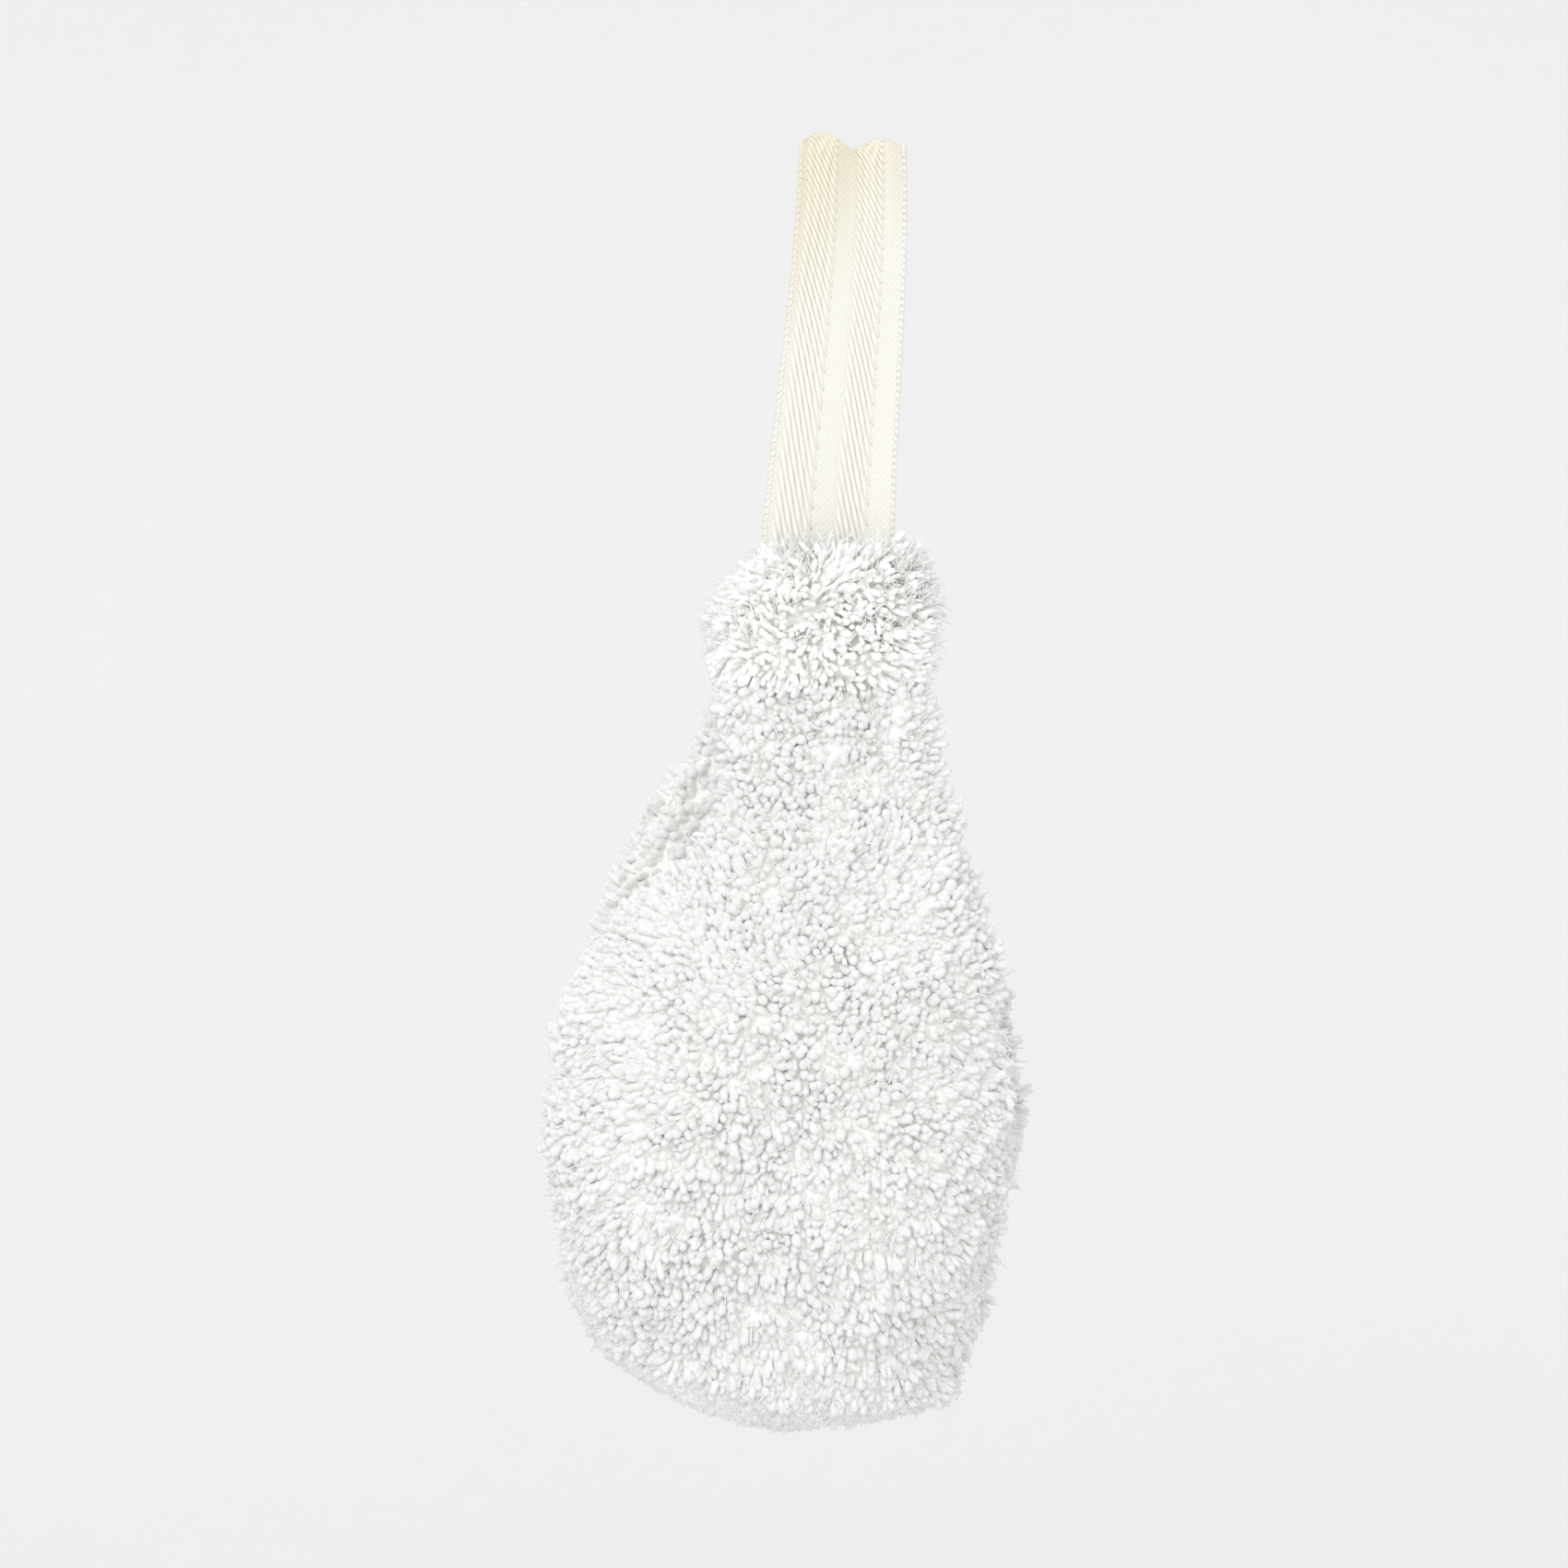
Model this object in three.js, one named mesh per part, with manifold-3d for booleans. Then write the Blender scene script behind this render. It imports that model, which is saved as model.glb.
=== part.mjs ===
// A spa headband of white plush, hanging by its elastic strap.
// Millimetres, +Z up. X runs across the band, Y through the loop, and -Y is the near side.
// The origin is the underside of the strap's crown, where a peg or hook would bear.
import * as THREE from "three";
import { mergeVertices } from "three/addons/utils/BufferGeometryUtils.js";
import Module from "manifold-3d";

const wasm = await Module();
wasm.setup();

// Driving dimensions: elastic strap.
const STRAP_WIDTH = 25.4;
const STRAP_THICKNESS = 1.5;
const CROWN_RADIUS = 3; // inside of the fold at the top
const STRAP_DROP = 76; // crown to the top of the collars
const STRAP_TUCK = 0.72; // share of a collar's height that the strap's end fills
const STRAP_SPREAD = 13.5; // half the distance between the two runs at the collar tops

// Driving dimensions: the plush loop, measured on the surface between its two panels.
const LOOP_DROP = 231.5; // crown to the middle of the brow
const BELLY_DROP = 180; // crown to the deepest and widest place
const BELLY_HALF_DEPTH = 27;
const BELLY_HALF_WIDTH = 42.5;
const BROW_HALF_WIDTH = 38.5;
const BROW_FULLNESS = 0.85; // 1 for an elliptical profile below the belly, less for a squarer one
const NECK_BORDER = 2.3; // plush beyond each side of the strap, gathered inside the collars
const THROAT_FLARE = 6.5; // by which each side widens just under the collars
const EDGE_CURL = 0.42; // share of the depth by which the long edges roll inwards
const EDGE_LIFT = 39; // how far the long edges rise at the brow
const EDGE_TURN = 1.25; // angle through which the band bends from its middle to an edge, in radians
const CUP_POWER = 1.25; // above 1 for a band that is flatter in the middle of its width

// Driving dimensions: plush, backing and pile together.
const OUTER_PLUSH = 8;
const LINING_PLUSH = 6.5;
const NECK_PLUSH = 3.5; // either plush, pressed flat inside a collar
const EDGE_PLUSH_SHARE = 0.16; // of the plush, left at the long edges
const PANEL_INSET = 3; // the panels stop this far below a collar's top
const NECK_MARGIN = 1.5; // the panels start to widen this far below a collar

// Facets of the panels.
const PANEL_ROWS = 52;
const NECK_ROWS = 4;
const PANEL_COLUMNS = 12;

// Driving dimensions: collars.
const COLLAR_HEIGHT = 25;
const COLLAR_WALL = 5.5;
const COLLAR_CORNER = 9.5;
const COLLAR_BORE_CORNER = 2.5;
const COLLAR_ROUNDING = 2; // of the rims
const COLLAR_SLIT = 0.8; // between the two ends of the wrapped strip

// Driving dimensions: sewing.
const THREAD_DIAMETER = 0.6;
const CLEARANCE = 0.3;
const STITCH_PITCH = 4;
const SEAM_SWAY = 0.15; // of a long seam's thread, from panel to panel
const SEAM_COLUMN = 5; // facet column of the panels, from the middle, along which the long seams run
const STRAP_ROWS = [0.3, 0.54]; // places of the strap's stitch rows, as shares of a collar's height
const GATHER_ROW = 0.86; // place of the gathering row, the same way
const CLOSING_ZIGZAG = 2.2; // half width of the collar's closing stitch
const CLOSING_PITCH = 2.5;
const CLOSING_MARGIN = 2.5; // from the collar's rims

const THREAD_RADIUS = THREAD_DIAMETER / 2;
const STRAP_ROW_DEPTHS = STRAP_ROWS.map((share) => share * COLLAR_HEIGHT);
const GATHER_ROW_DEPTH = GATHER_ROW * COLLAR_HEIGHT;
const TUCK_DEPTH = STRAP_TUCK * COLLAR_HEIGHT;
const NECK_GAP = STRAP_THICKNESS + 2 * CLEARANCE; // between the panels where the strap is tucked in
const SEAM_GAP = THREAD_DIAMETER + 2 * SEAM_SWAY + 2 * CLEARANCE; // between the panels elsewhere
const NECK_FACE = NECK_GAP / 2 + NECK_PLUSH; // middle surface to a pressed panel's face
const BIGHT_OFFSET = NECK_FACE + CLEARANCE + THREAD_RADIUS;
const COLLAR_BORE = BIGHT_OFFSET + THREAD_RADIUS + CLEARANCE;
const NECK_HALF_WIDTH = STRAP_WIDTH / 2 + NECK_BORDER;
const THROAT_HALF_WIDTH = NECK_HALF_WIDTH + THROAT_FLARE;
const COLLAR_BORE_WIDTH = NECK_HALF_WIDTH + 1;

const lerp = THREE.MathUtils.lerp;
const smooth = THREE.MathUtils.smoothstep;

// ---------------------------------------------------------------- the loop

// Crown arc and the straight line of a strap run, on the middle of the strap.
const crownMiddle = CROWN_RADIUS + STRAP_THICKNESS / 2;
const tilt = Math.atan2(STRAP_SPREAD - crownMiddle, STRAP_DROP);
const runStart = new THREE.Vector2(crownMiddle * Math.cos(tilt), crownMiddle * Math.sin(tilt) - CROWN_RADIUS);
const runDirection = new THREE.Vector2(Math.sin(tilt), -Math.cos(tilt));

// A point on the line of the near (side -1) or far (side 1) run at a height z.
function onRun(side, z) {
  const along = (z - runStart.y) / runDirection.y;
  return new THREE.Vector3(0, side * (runStart.x + along * runDirection.x), z);
}

const collarTop = -STRAP_DROP;
const collarBottom = collarTop - COLLAR_HEIGHT;
const panelTop = collarTop - PANEL_INSET;
const neckDepth = onRun(1, collarBottom).y;

// Half of the loop's profile, from inside a collar down to the brow.
function halfProfile(side) {
  const place = (y, z) => new THREE.Vector3(0, side * y, z);
  return [
    onRun(side, panelTop),
    onRun(side, (panelTop + collarBottom) / 2),
    onRun(side, collarBottom + 5),
    onRun(side, collarBottom - 1),
    place(lerp(neckDepth, BELLY_HALF_DEPTH, 0.42), lerp(collarBottom, -BELLY_DROP, 0.38)),
    ...[0, 30, 60].map((degrees) => {
      const turn = THREE.MathUtils.degToRad(degrees);
      const outward = Math.cos(turn) ** BROW_FULLNESS;
      const down = Math.sin(turn) ** BROW_FULLNESS;
      return place(BELLY_HALF_DEPTH * outward, lerp(-BELLY_DROP, -LOOP_DROP, down));
    }),
  ];
}

const brow = new THREE.Vector3(0, 0, -LOOP_DROP);
const profile = new THREE.CatmullRomCurve3([...halfProfile(-1), brow, ...halfProfile(1).reverse()]);
profile.arcLengthDivisions = 1200;

// Half width of the panels at a height on the profile.
function halfWidth(z) {
  const throat = smooth(-z, -collarBottom + NECK_MARGIN, -collarBottom + 7);
  const shoulder = smooth(-z, -collarBottom + 7, BELLY_DROP - 12);
  const low = smooth(-z, BELLY_DROP + 5, LOOP_DROP);
  const upper = lerp(lerp(NECK_HALF_WIDTH, THROAT_HALF_WIDTH, throat), BELLY_HALF_WIDTH, shoulder);
  return lerp(upper, BROW_HALF_WIDTH, low);
}

// Middle surface of the band: t runs along the loop, u from edge to edge.
function middle(t, u) {
  const p = profile.getPointAt(THREE.MathUtils.clamp(t, 0, 1));
  const roll = smooth(-p.z, -collarBottom + 4, BELLY_DROP);
  const lift = smooth(-p.z, BELLY_DROP - 20, LOOP_DROP);
  const turned = Math.sin(u * EDGE_TURN) / Math.sin(EDGE_TURN);
  const cup = ((1 - Math.cos(u * EDGE_TURN)) / (1 - Math.cos(EDGE_TURN))) ** CUP_POWER;
  const x = lerp(u, turned, roll) * halfWidth(p.z);
  return new THREE.Vector3(x, p.y * (1 - EDGE_CURL * cup * roll), p.z + EDGE_LIFT * cup * lift);
}

// A place at an offset from the middle surface; positive offsets are on the outside of the loop.
function onBand(t, u, offset) {
  const step = 2e-3;
  const along = middle(t + step, u).sub(middle(t - step, u));
  const across = middle(t, u + step).sub(middle(t, u - step));
  const normal = along.cross(across).normalize();
  return middle(t, u).addScaledVector(normal, offset);
}

// Thickness of a panel's plush at a place: pressed in the collars, thin at the edges.
function plush(full, t, u) {
  const z = profile.getPointAt(t).z;
  const centre = lerp(NECK_PLUSH, full, smooth(-z, -collarBottom + NECK_MARGIN, -collarBottom + 24));
  const edge = lerp(Math.sqrt(1 - u ** 4), 1, EDGE_PLUSH_SHARE);
  return lerp(centre, centre * edge, smooth(-z, -collarBottom + NECK_MARGIN, -collarBottom + 12));
}

// ------------------------------------------------------------ making solids

// A closed slab whose points are placed by a function of (along 0..1, across -1..1, depth 0..1).
function slab(alongSteps, acrossSteps, place) {
  const geometry = new THREE.BoxGeometry(2, 1, 1, acrossSteps, 1, alongSteps);
  const position = geometry.attributes.position;
  for (let i = 0; i < position.count; i++) {
    const p = place(0.5 - position.getZ(i), position.getX(i), position.getY(i) + 0.5);
    position.setXYZ(i, p.x, p.y, p.z);
  }
  return geometry;
}

function toSolid(geometry, matrix = new THREE.Matrix4()) {
  const bare = geometry.clone().applyMatrix4(matrix);
  bare.deleteAttribute("normal");
  bare.deleteAttribute("uv");
  const merged = mergeVertices(bare, 1e-4);
  return new wasm.Manifold(
    new wasm.Mesh({
      numProp: 3,
      vertProperties: merged.attributes.position.array,
      triVerts: new Uint32Array(merged.index.array),
    }),
  );
}

function toGeometry(solid) {
  const mesh = solid.getMesh();
  const geometry = new THREE.BufferGeometry();
  geometry.setAttribute("position", new THREE.BufferAttribute(new Float32Array(mesh.vertProperties), 3));
  geometry.setIndex(new THREE.BufferAttribute(new Uint32Array(mesh.triVerts), 1));
  geometry.computeVertexNormals();
  return geometry;
}

const join = (solids) => solids.reduce((sum, next) => sum.add(next));

// A bar with flat ends from a to b, and square or six-sided.
function bar(a, b, radius, sides) {
  const axis = b.clone().sub(a);
  const up = new THREE.Vector3(0, 1, 0);
  const turn = new THREE.Quaternion().setFromUnitVectors(up, axis.clone().normalize());
  const shape = new THREE.CylinderGeometry(radius, radius, axis.length(), sides);
  const centre = a.clone().add(b).multiplyScalar(0.5);
  return toSolid(shape, new THREE.Matrix4().compose(centre, turn, new THREE.Vector3(1, 1, 1)));
}

// A thread through a list of corners, with a short overlap at each corner.
function threadThrough(corners) {
  const pieces = corners.slice(1).map((corner, i) => {
    const way = corner.clone().sub(corners[i]).setLength(THREAD_RADIUS * 0.8);
    return bar(corners[i].clone().sub(way), corner.clone().add(way), THREAD_RADIUS, 6);
  });
  return join(pieces);
}

// Place along the loop of one of the panels' facet rows: one row lies just below each collar.
function rowPlace(row) {
  const neckEnd = (COLLAR_HEIGHT + NECK_MARGIN - PANEL_INSET) / profile.getLength();
  const rowsBetween = PANEL_ROWS - 2 * NECK_ROWS;
  if (row < NECK_ROWS) return (row / NECK_ROWS) * neckEnd;
  if (row > PANEL_ROWS - NECK_ROWS) return 1 - ((PANEL_ROWS - row) / NECK_ROWS) * neckEnd;
  return lerp(neckEnd, 1 - neckEnd, (row - NECK_ROWS) / rowsBetween);
}

// Half the gap between the two panels at a place along the loop.
function halfGap(t) {
  const z = profile.getPointAt(t).z;
  return lerp(NECK_GAP, SEAM_GAP, smooth(-z, -collarBottom + NECK_MARGIN, -collarBottom + 24)) / 2;
}

// ------------------------------------------------------------------- sewing

// The necks' own frame: x across the band, y out of the loop, z down from the collar's top.
// neckPlace puts the near (side -1) or the far (side 1) neck's group where it belongs.
function neckPlace(side) {
  const neck = new THREE.Group();
  neck.position.copy(onRun(-1, collarTop));
  neck.rotation.x = Math.PI - tilt;
  const turned = new THREE.Group();
  turned.rotation.z = side > 0 ? Math.PI : 0;
  turned.add(neck);
  turned.updateMatrixWorld(true);
  return { turned, neck };
}

const stitchCount = Math.floor((STRAP_WIDTH - STITCH_PITCH) / STITCH_PITCH);
const stitchPlaces = Array.from({ length: stitchCount + 1 }, (_, i) => (i - stitchCount / 2) * STITCH_PITCH);

// One running-stitch thread: a leg through the layers at each place, joined in turn outside and inside.
function stitchThread(depth) {
  const corners = stitchPlaces.flatMap((x, i) => {
    const up = i % 2 ? 1 : -1;
    return [new THREE.Vector3(x, -up * BIGHT_OFFSET, depth), new THREE.Vector3(x, up * BIGHT_OFFSET, depth)];
  });
  return toGeometry(threadThrough(corners));
}

// The square needle holes that rows of stitches leave in every layer they cross, in both necks.
function needleHoles(depths) {
  const reach = 2 * (COLLAR_BORE + CLEARANCE);
  const width = THREAD_DIAMETER + 2 * CLEARANCE;
  const hole = new THREE.BoxGeometry(width, reach, width);
  const places = [-1, 1].flatMap((side) => {
    const placed = neckPlace(side).neck.matrixWorld;
    const at = (x, depth) => new THREE.Matrix4().makeTranslation(x, 0, depth).premultiply(placed);
    return depths.flatMap((depth) => stitchPlaces.map((x) => at(x, depth)));
  });
  return join(places.map((place) => toSolid(hole, place)));
}

const strapHoles = needleHoles(STRAP_ROW_DEPTHS);
const allHoles = needleHoles([...STRAP_ROW_DEPTHS, GATHER_ROW_DEPTH]);

// A long seam's thread, swaying from panel to panel at each facet row, clear of the collars.
function seamThread(side) {
  const seam = (side * SEAM_COLUMN) / (PANEL_COLUMNS / 2);
  const steps = PANEL_ROWS - 2 * NECK_ROWS;
  const place = (along, across, depth) => {
    const step = Math.round(along * steps);
    const sway = step % 2 ? SEAM_SWAY : -SEAM_SWAY;
    const t = rowPlace(NECK_ROWS + step);
    const reach = middle(t, seam + 0.01).distanceTo(middle(t, seam - 0.01)) / 0.02;
    return onBand(t, seam - (across * THREAD_RADIUS) / reach, sway + (depth - 0.5) * THREAD_DIAMETER);
  };
  return slab(steps, 1, place);
}

// The zigzag that closes a collar, on the face towards the other collar.
function closingStitch() {
  const out = -(COLLAR_BORE + COLLAR_WALL + CLEARANCE + THREAD_RADIUS);
  const length = COLLAR_HEIGHT - 2 * CLOSING_MARGIN;
  const count = Math.floor(length / CLOSING_PITCH);
  const corners = Array.from({ length: count + 1 }, (_, i) => {
    const sideways = i % 2 ? CLOSING_ZIGZAG : -CLOSING_ZIGZAG;
    return new THREE.Vector3(sideways, out, CLOSING_MARGIN + (i * length) / count);
  });
  return toGeometry(threadThrough(corners));
}

// ------------------------------------------------------------------- pieces

// The strap follows the crown arc, its two straight runs and its two tucked ends.
function strap() {
  const depthOf = (z) => (z - runStart.y) / runDirection.y;
  const runLength = depthOf(collarTop) + TUCK_DEPTH;
  const arcSpan = Math.PI - 2 * tilt;
  const arcSteps = 12;
  const runSteps = 3;
  const steps = 2 * runSteps + arcSteps;
  const place = (along, across, depth) => {
    const step = Math.round(along * steps);
    const n = (depth - 0.5) * STRAP_THICKNESS;
    const turn = THREE.MathUtils.clamp((step - runSteps) / arcSteps, 0, 1) * arcSpan + tilt;
    const out = new THREE.Vector3(0, -Math.cos(turn), Math.sin(turn));
    const beyond = Math.max(runSteps - step, step - runSteps - arcSteps, 0) / runSteps;
    const side = step < steps / 2 ? -1 : 1;
    return new THREE.Vector3((across * STRAP_WIDTH) / 2, 0, -CROWN_RADIUS)
      .addScaledVector(out, crownMiddle + n)
      .add(new THREE.Vector3(0, side * runDirection.x, runDirection.y).multiplyScalar(beyond * runLength));
  };
  return toGeometry(toSolid(slab(steps, 1, place)).subtract(strapHoles));
}

function panel(full, outwards) {
  const place = (along, across, depth) => {
    const t = rowPlace(Math.round(along * PANEL_ROWS));
    const offset = halfGap(t) + plush(full, t, across) * (outwards ? depth : 1 - depth);
    return onBand(t, -across, outwards ? offset : -offset);
  };
  return toGeometry(toSolid(slab(PANEL_ROWS, PANEL_COLUMNS, place)).subtract(allHoles));
}

// A bar of rounded-box section, lying along +Z from z to z + length, its rims rounded.
function roundedBar(halfX, halfY, corner, z, length, rounding) {
  const x = halfX - corner;
  const y = halfY - corner;
  const radius = corner - rounding;
  const outline = new THREE.Shape();
  outline.absarc(x, y, radius, 0, Math.PI / 2);
  outline.absarc(-x, y, radius, Math.PI / 2, Math.PI);
  outline.absarc(-x, -y, radius, Math.PI, 1.5 * Math.PI);
  outline.absarc(x, -y, radius, 1.5 * Math.PI, 2 * Math.PI);
  const bevel = { bevelEnabled: rounding > 0, bevelThickness: rounding, bevelSize: rounding };
  const settings = { depth: length - 2 * rounding, curveSegments: 4, bevelSegments: 2, ...bevel };
  return new THREE.ExtrudeGeometry(outline, settings).translate(0, 0, z + rounding);
}

// A short strip wrapped round the gathered neck, its ends meeting at a slit towards the loop's inside.
function collar() {
  const halfX = COLLAR_BORE_WIDTH;
  const halfY = COLLAR_BORE;
  const wall = COLLAR_WALL;
  const height = COLLAR_HEIGHT;
  const outside = roundedBar(halfX + wall, halfY + wall, COLLAR_CORNER, 0, height, COLLAR_ROUNDING);
  const bore = roundedBar(halfX, halfY, COLLAR_BORE_CORNER, -height, height * 3, 0);
  const slit = new THREE.BoxGeometry(COLLAR_SLIT, wall * 2, height * 3);
  slit.translate(0, -(halfY + wall / 2), 0);
  return toGeometry(toSolid(outside).subtract(toSolid(bore)).subtract(toSolid(slit)));
}

// ----------------------------------------------------------------- assembly

const plushWhite = new THREE.MeshStandardMaterial({ color: 0xf4f4f1, roughness: 0.95, metalness: 0 });
const elasticCream = new THREE.MeshStandardMaterial({ color: 0xfbf6e6, roughness: 0.7, metalness: 0 });
const threadWhite = new THREE.MeshStandardMaterial({ color: 0xf7f5ee, roughness: 0.6, metalness: 0 });

function piece(name, geometry, material) {
  const mesh = new THREE.Mesh(geometry, material);
  mesh.name = name;
  return mesh;
}

// One gathered end of the plush: its collar and the stitches that hold it and the strap.
function gatheredEnd(word, side) {
  const { turned, neck } = neckPlace(side);
  neck.add(piece(`${word}_collar`, collar(), plushWhite));
  neck.add(piece(`${word}_collar_closing_stitch`, closingStitch(), threadWhite));
  neck.add(piece(`${word}_strap_stitch_upper`, stitchThread(STRAP_ROW_DEPTHS[0]), threadWhite));
  neck.add(piece(`${word}_strap_stitch_lower`, stitchThread(STRAP_ROW_DEPTHS[1]), threadWhite));
  neck.add(piece(`${word}_gather_stitch`, stitchThread(GATHER_ROW_DEPTH), threadWhite));
  return turned;
}

const plushLoop = new THREE.Group();
plushLoop.add(piece("outer_panel", panel(OUTER_PLUSH, true), plushWhite));
plushLoop.add(piece("lining_panel", panel(LINING_PLUSH, false), plushWhite));
plushLoop.add(piece("left_seam_thread", seamThread(-1), threadWhite));
plushLoop.add(piece("right_seam_thread", seamThread(1), threadWhite));
plushLoop.add(gatheredEnd("near", -1), gatheredEnd("far", 1));

const headband = new THREE.Group();
headband.add(piece("elastic_strap", strap(), elasticCream));
headband.add(plushLoop);

export default headband;
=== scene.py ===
"""A spa headband of white plush, hanging by its woven elastic strap."""

import math

import bmesh
import bpy
import numpy as np
from mathutils import Matrix, Vector


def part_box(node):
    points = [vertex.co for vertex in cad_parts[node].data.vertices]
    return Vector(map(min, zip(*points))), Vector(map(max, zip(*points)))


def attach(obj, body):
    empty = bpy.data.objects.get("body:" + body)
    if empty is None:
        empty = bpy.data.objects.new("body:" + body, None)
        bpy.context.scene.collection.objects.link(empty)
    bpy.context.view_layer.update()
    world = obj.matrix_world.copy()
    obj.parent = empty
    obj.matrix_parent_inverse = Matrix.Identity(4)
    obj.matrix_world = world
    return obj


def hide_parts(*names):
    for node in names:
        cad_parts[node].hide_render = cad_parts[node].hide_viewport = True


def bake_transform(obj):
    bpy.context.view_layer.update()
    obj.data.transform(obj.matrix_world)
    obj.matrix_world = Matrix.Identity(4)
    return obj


bl_info = {
    "name": "Spa headband",
    "version": (1, 0, 0),
    "blender": (4, 5, 0),
    "location": "3D View > Sidebar > Headband",
    "description": "Makes a plush spa headband that hangs by its woven elastic strap",
    "category": "Object",
}

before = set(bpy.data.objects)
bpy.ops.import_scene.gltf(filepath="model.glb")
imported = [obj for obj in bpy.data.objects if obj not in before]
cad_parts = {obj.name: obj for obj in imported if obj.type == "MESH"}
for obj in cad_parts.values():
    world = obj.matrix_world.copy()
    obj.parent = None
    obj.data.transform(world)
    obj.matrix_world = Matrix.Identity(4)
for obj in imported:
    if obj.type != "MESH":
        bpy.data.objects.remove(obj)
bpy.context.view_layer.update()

PLUSH = "plush_band"
NEAR, FAR = -1, 1
MM = 0.001

# Heights on the hanging band, in metres below the strap's crown.
COLLAR_TOP = -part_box("near_collar")[1][2] + 1.2 * MM
COLLAR_BOTTOM = -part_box("near_collar")[0][2] - 1.0 * MM
BELLY = 0.180
BROW = 0.2315
CROWN_MIDDLE = 0.00375
STRAP_SPREAD = 0.0135
TILT = math.atan2(STRAP_SPREAD - CROWN_MIDDLE, 0.076)


# ------------------------------------------------------------------ sizes and colours


class HeadbandStrap(bpy.types.PropertyGroup):
    width: bpy.props.FloatProperty(
        name="Strap width", description="Width of the woven elastic", default=0.0254, unit="LENGTH"
    )
    thickness: bpy.props.FloatProperty(
        name="Strap thickness", description="Thickness of the woven elastic", default=0.0013, unit="LENGTH"
    )
    crease: bpy.props.FloatProperty(
        name="Crown crease",
        description="How deep the strap is creased along its middle at the crown",
        default=0.0029,
        unit="LENGTH",
    )
    rib_pitch: bpy.props.FloatProperty(
        name="Rib pitch", description="From one raised rib to the next, across the strap", default=0.00108, unit="LENGTH"
    )
    ivory: bpy.props.FloatVectorProperty(
        name="Ivory", description="Colour of the elastic's yarn", subtype="COLOR", size=3, default=(0.885, 0.88, 0.825)
    )
    # The yarn shade is painted shade between the yarns.
    shade: bpy.props.FloatVectorProperty(
        name="Yarn shade", description="Colour between the yarns", subtype="COLOR", size=3, default=(0.79, 0.775, 0.70)
    )


class HeadbandPlush(bpy.types.PropertyGroup):
    outer_thickness: bpy.props.FloatProperty(
        name="Outer plush", description="Thickness of the outer panel with its pile", default=0.0080, unit="LENGTH"
    )
    lining_thickness: bpy.props.FloatProperty(
        name="Lining plush", description="Thickness of the lining with its pile", default=0.0065, unit="LENGTH"
    )
    tuft_length: bpy.props.FloatProperty(
        name="Tuft length", description="Length of a tuft of the pile", default=0.0042, unit="LENGTH"
    )
    tuft_width: bpy.props.FloatProperty(
        name="Tuft width", description="Width of a tuft at its thickest", default=0.00154, unit="LENGTH"
    )
    tuft_spacing: bpy.props.FloatProperty(
        name="Tuft spacing", description="From one tuft to the next", default=0.00132, unit="LENGTH"
    )
    # The tip colour is painted darker than the roots: painted shade that tones down the lit tips.
    tip: bpy.props.FloatVectorProperty(
        name="Pile tips", description="Colour of the pile's tips", subtype="COLOR", size=3, default=(0.81, 0.81, 0.805)
    )
    # The fine fibres take a lighter copy of the pile's tip colour: painted light that lifts the shade the thin strands
    # cast on each other.
    fuzz_painted_light: bpy.props.FloatVectorProperty(
        name="Fine fibres",
        description="Colour of the loose fibres and of the pile on the gathered ends",
        subtype="COLOR",
        size=3,
        default=(0.94, 0.938, 0.93),
    )
    # The root colour is painted lighter than the tips: painted light that lifts the shade deep between the tufts.
    root: bpy.props.FloatVectorProperty(
        name="Pile roots", description="Colour deep in the pile", subtype="COLOR", size=3, default=(0.985, 0.98, 0.962)
    )


# ------------------------------------------------------------------ how the band hangs


def smooth(x, low, high):
    s = np.clip((np.asarray(x, float) - low) / (high - low), 0, 1)
    return s * s * (3 - 2 * s)


def mix(a, b, share):
    return a + (b - a) * share


def through(places, values, at):
    """A smooth curve through values at rising places."""
    at = np.asarray(at, float)
    result = np.full(at.shape, float(values[0]))
    for k in range(len(places) - 1):
        share = smooth(at, places[k], places[k + 1])
        result = result + (values[k + 1] - values[k]) * share
    return result


def drape(points):
    """How the soft band leans and twists as it hangs: a shift across, and halves that part from each other."""
    points = np.array(points, float)
    down = -points[..., 2]
    sways = (0.0055, 0.0, 0.0, -0.0040, -0.0058, -0.0075, -0.0071, -0.0080, -0.0072, 0.0012)
    lean = through((0.0, 0.095, 0.106, 0.122, 0.140, 0.170, 0.190, 0.212, 0.226, 0.240), sways, down)
    twist = through((0.100, 0.128, 0.165, 0.205, 0.240), (0.0, -0.30, 0.12, 0.10, 0.0), down)
    narrow = through((0.104, 0.121, 0.131, 0.150, 0.172, 0.187, 0.210), (0.96, 0.84, 0.83, 0.90, 0.91, 0.94, 0.94), down)
    points[..., 0] = points[..., 0] * narrow + lean + points[..., 1] * twist
    return points


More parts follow.
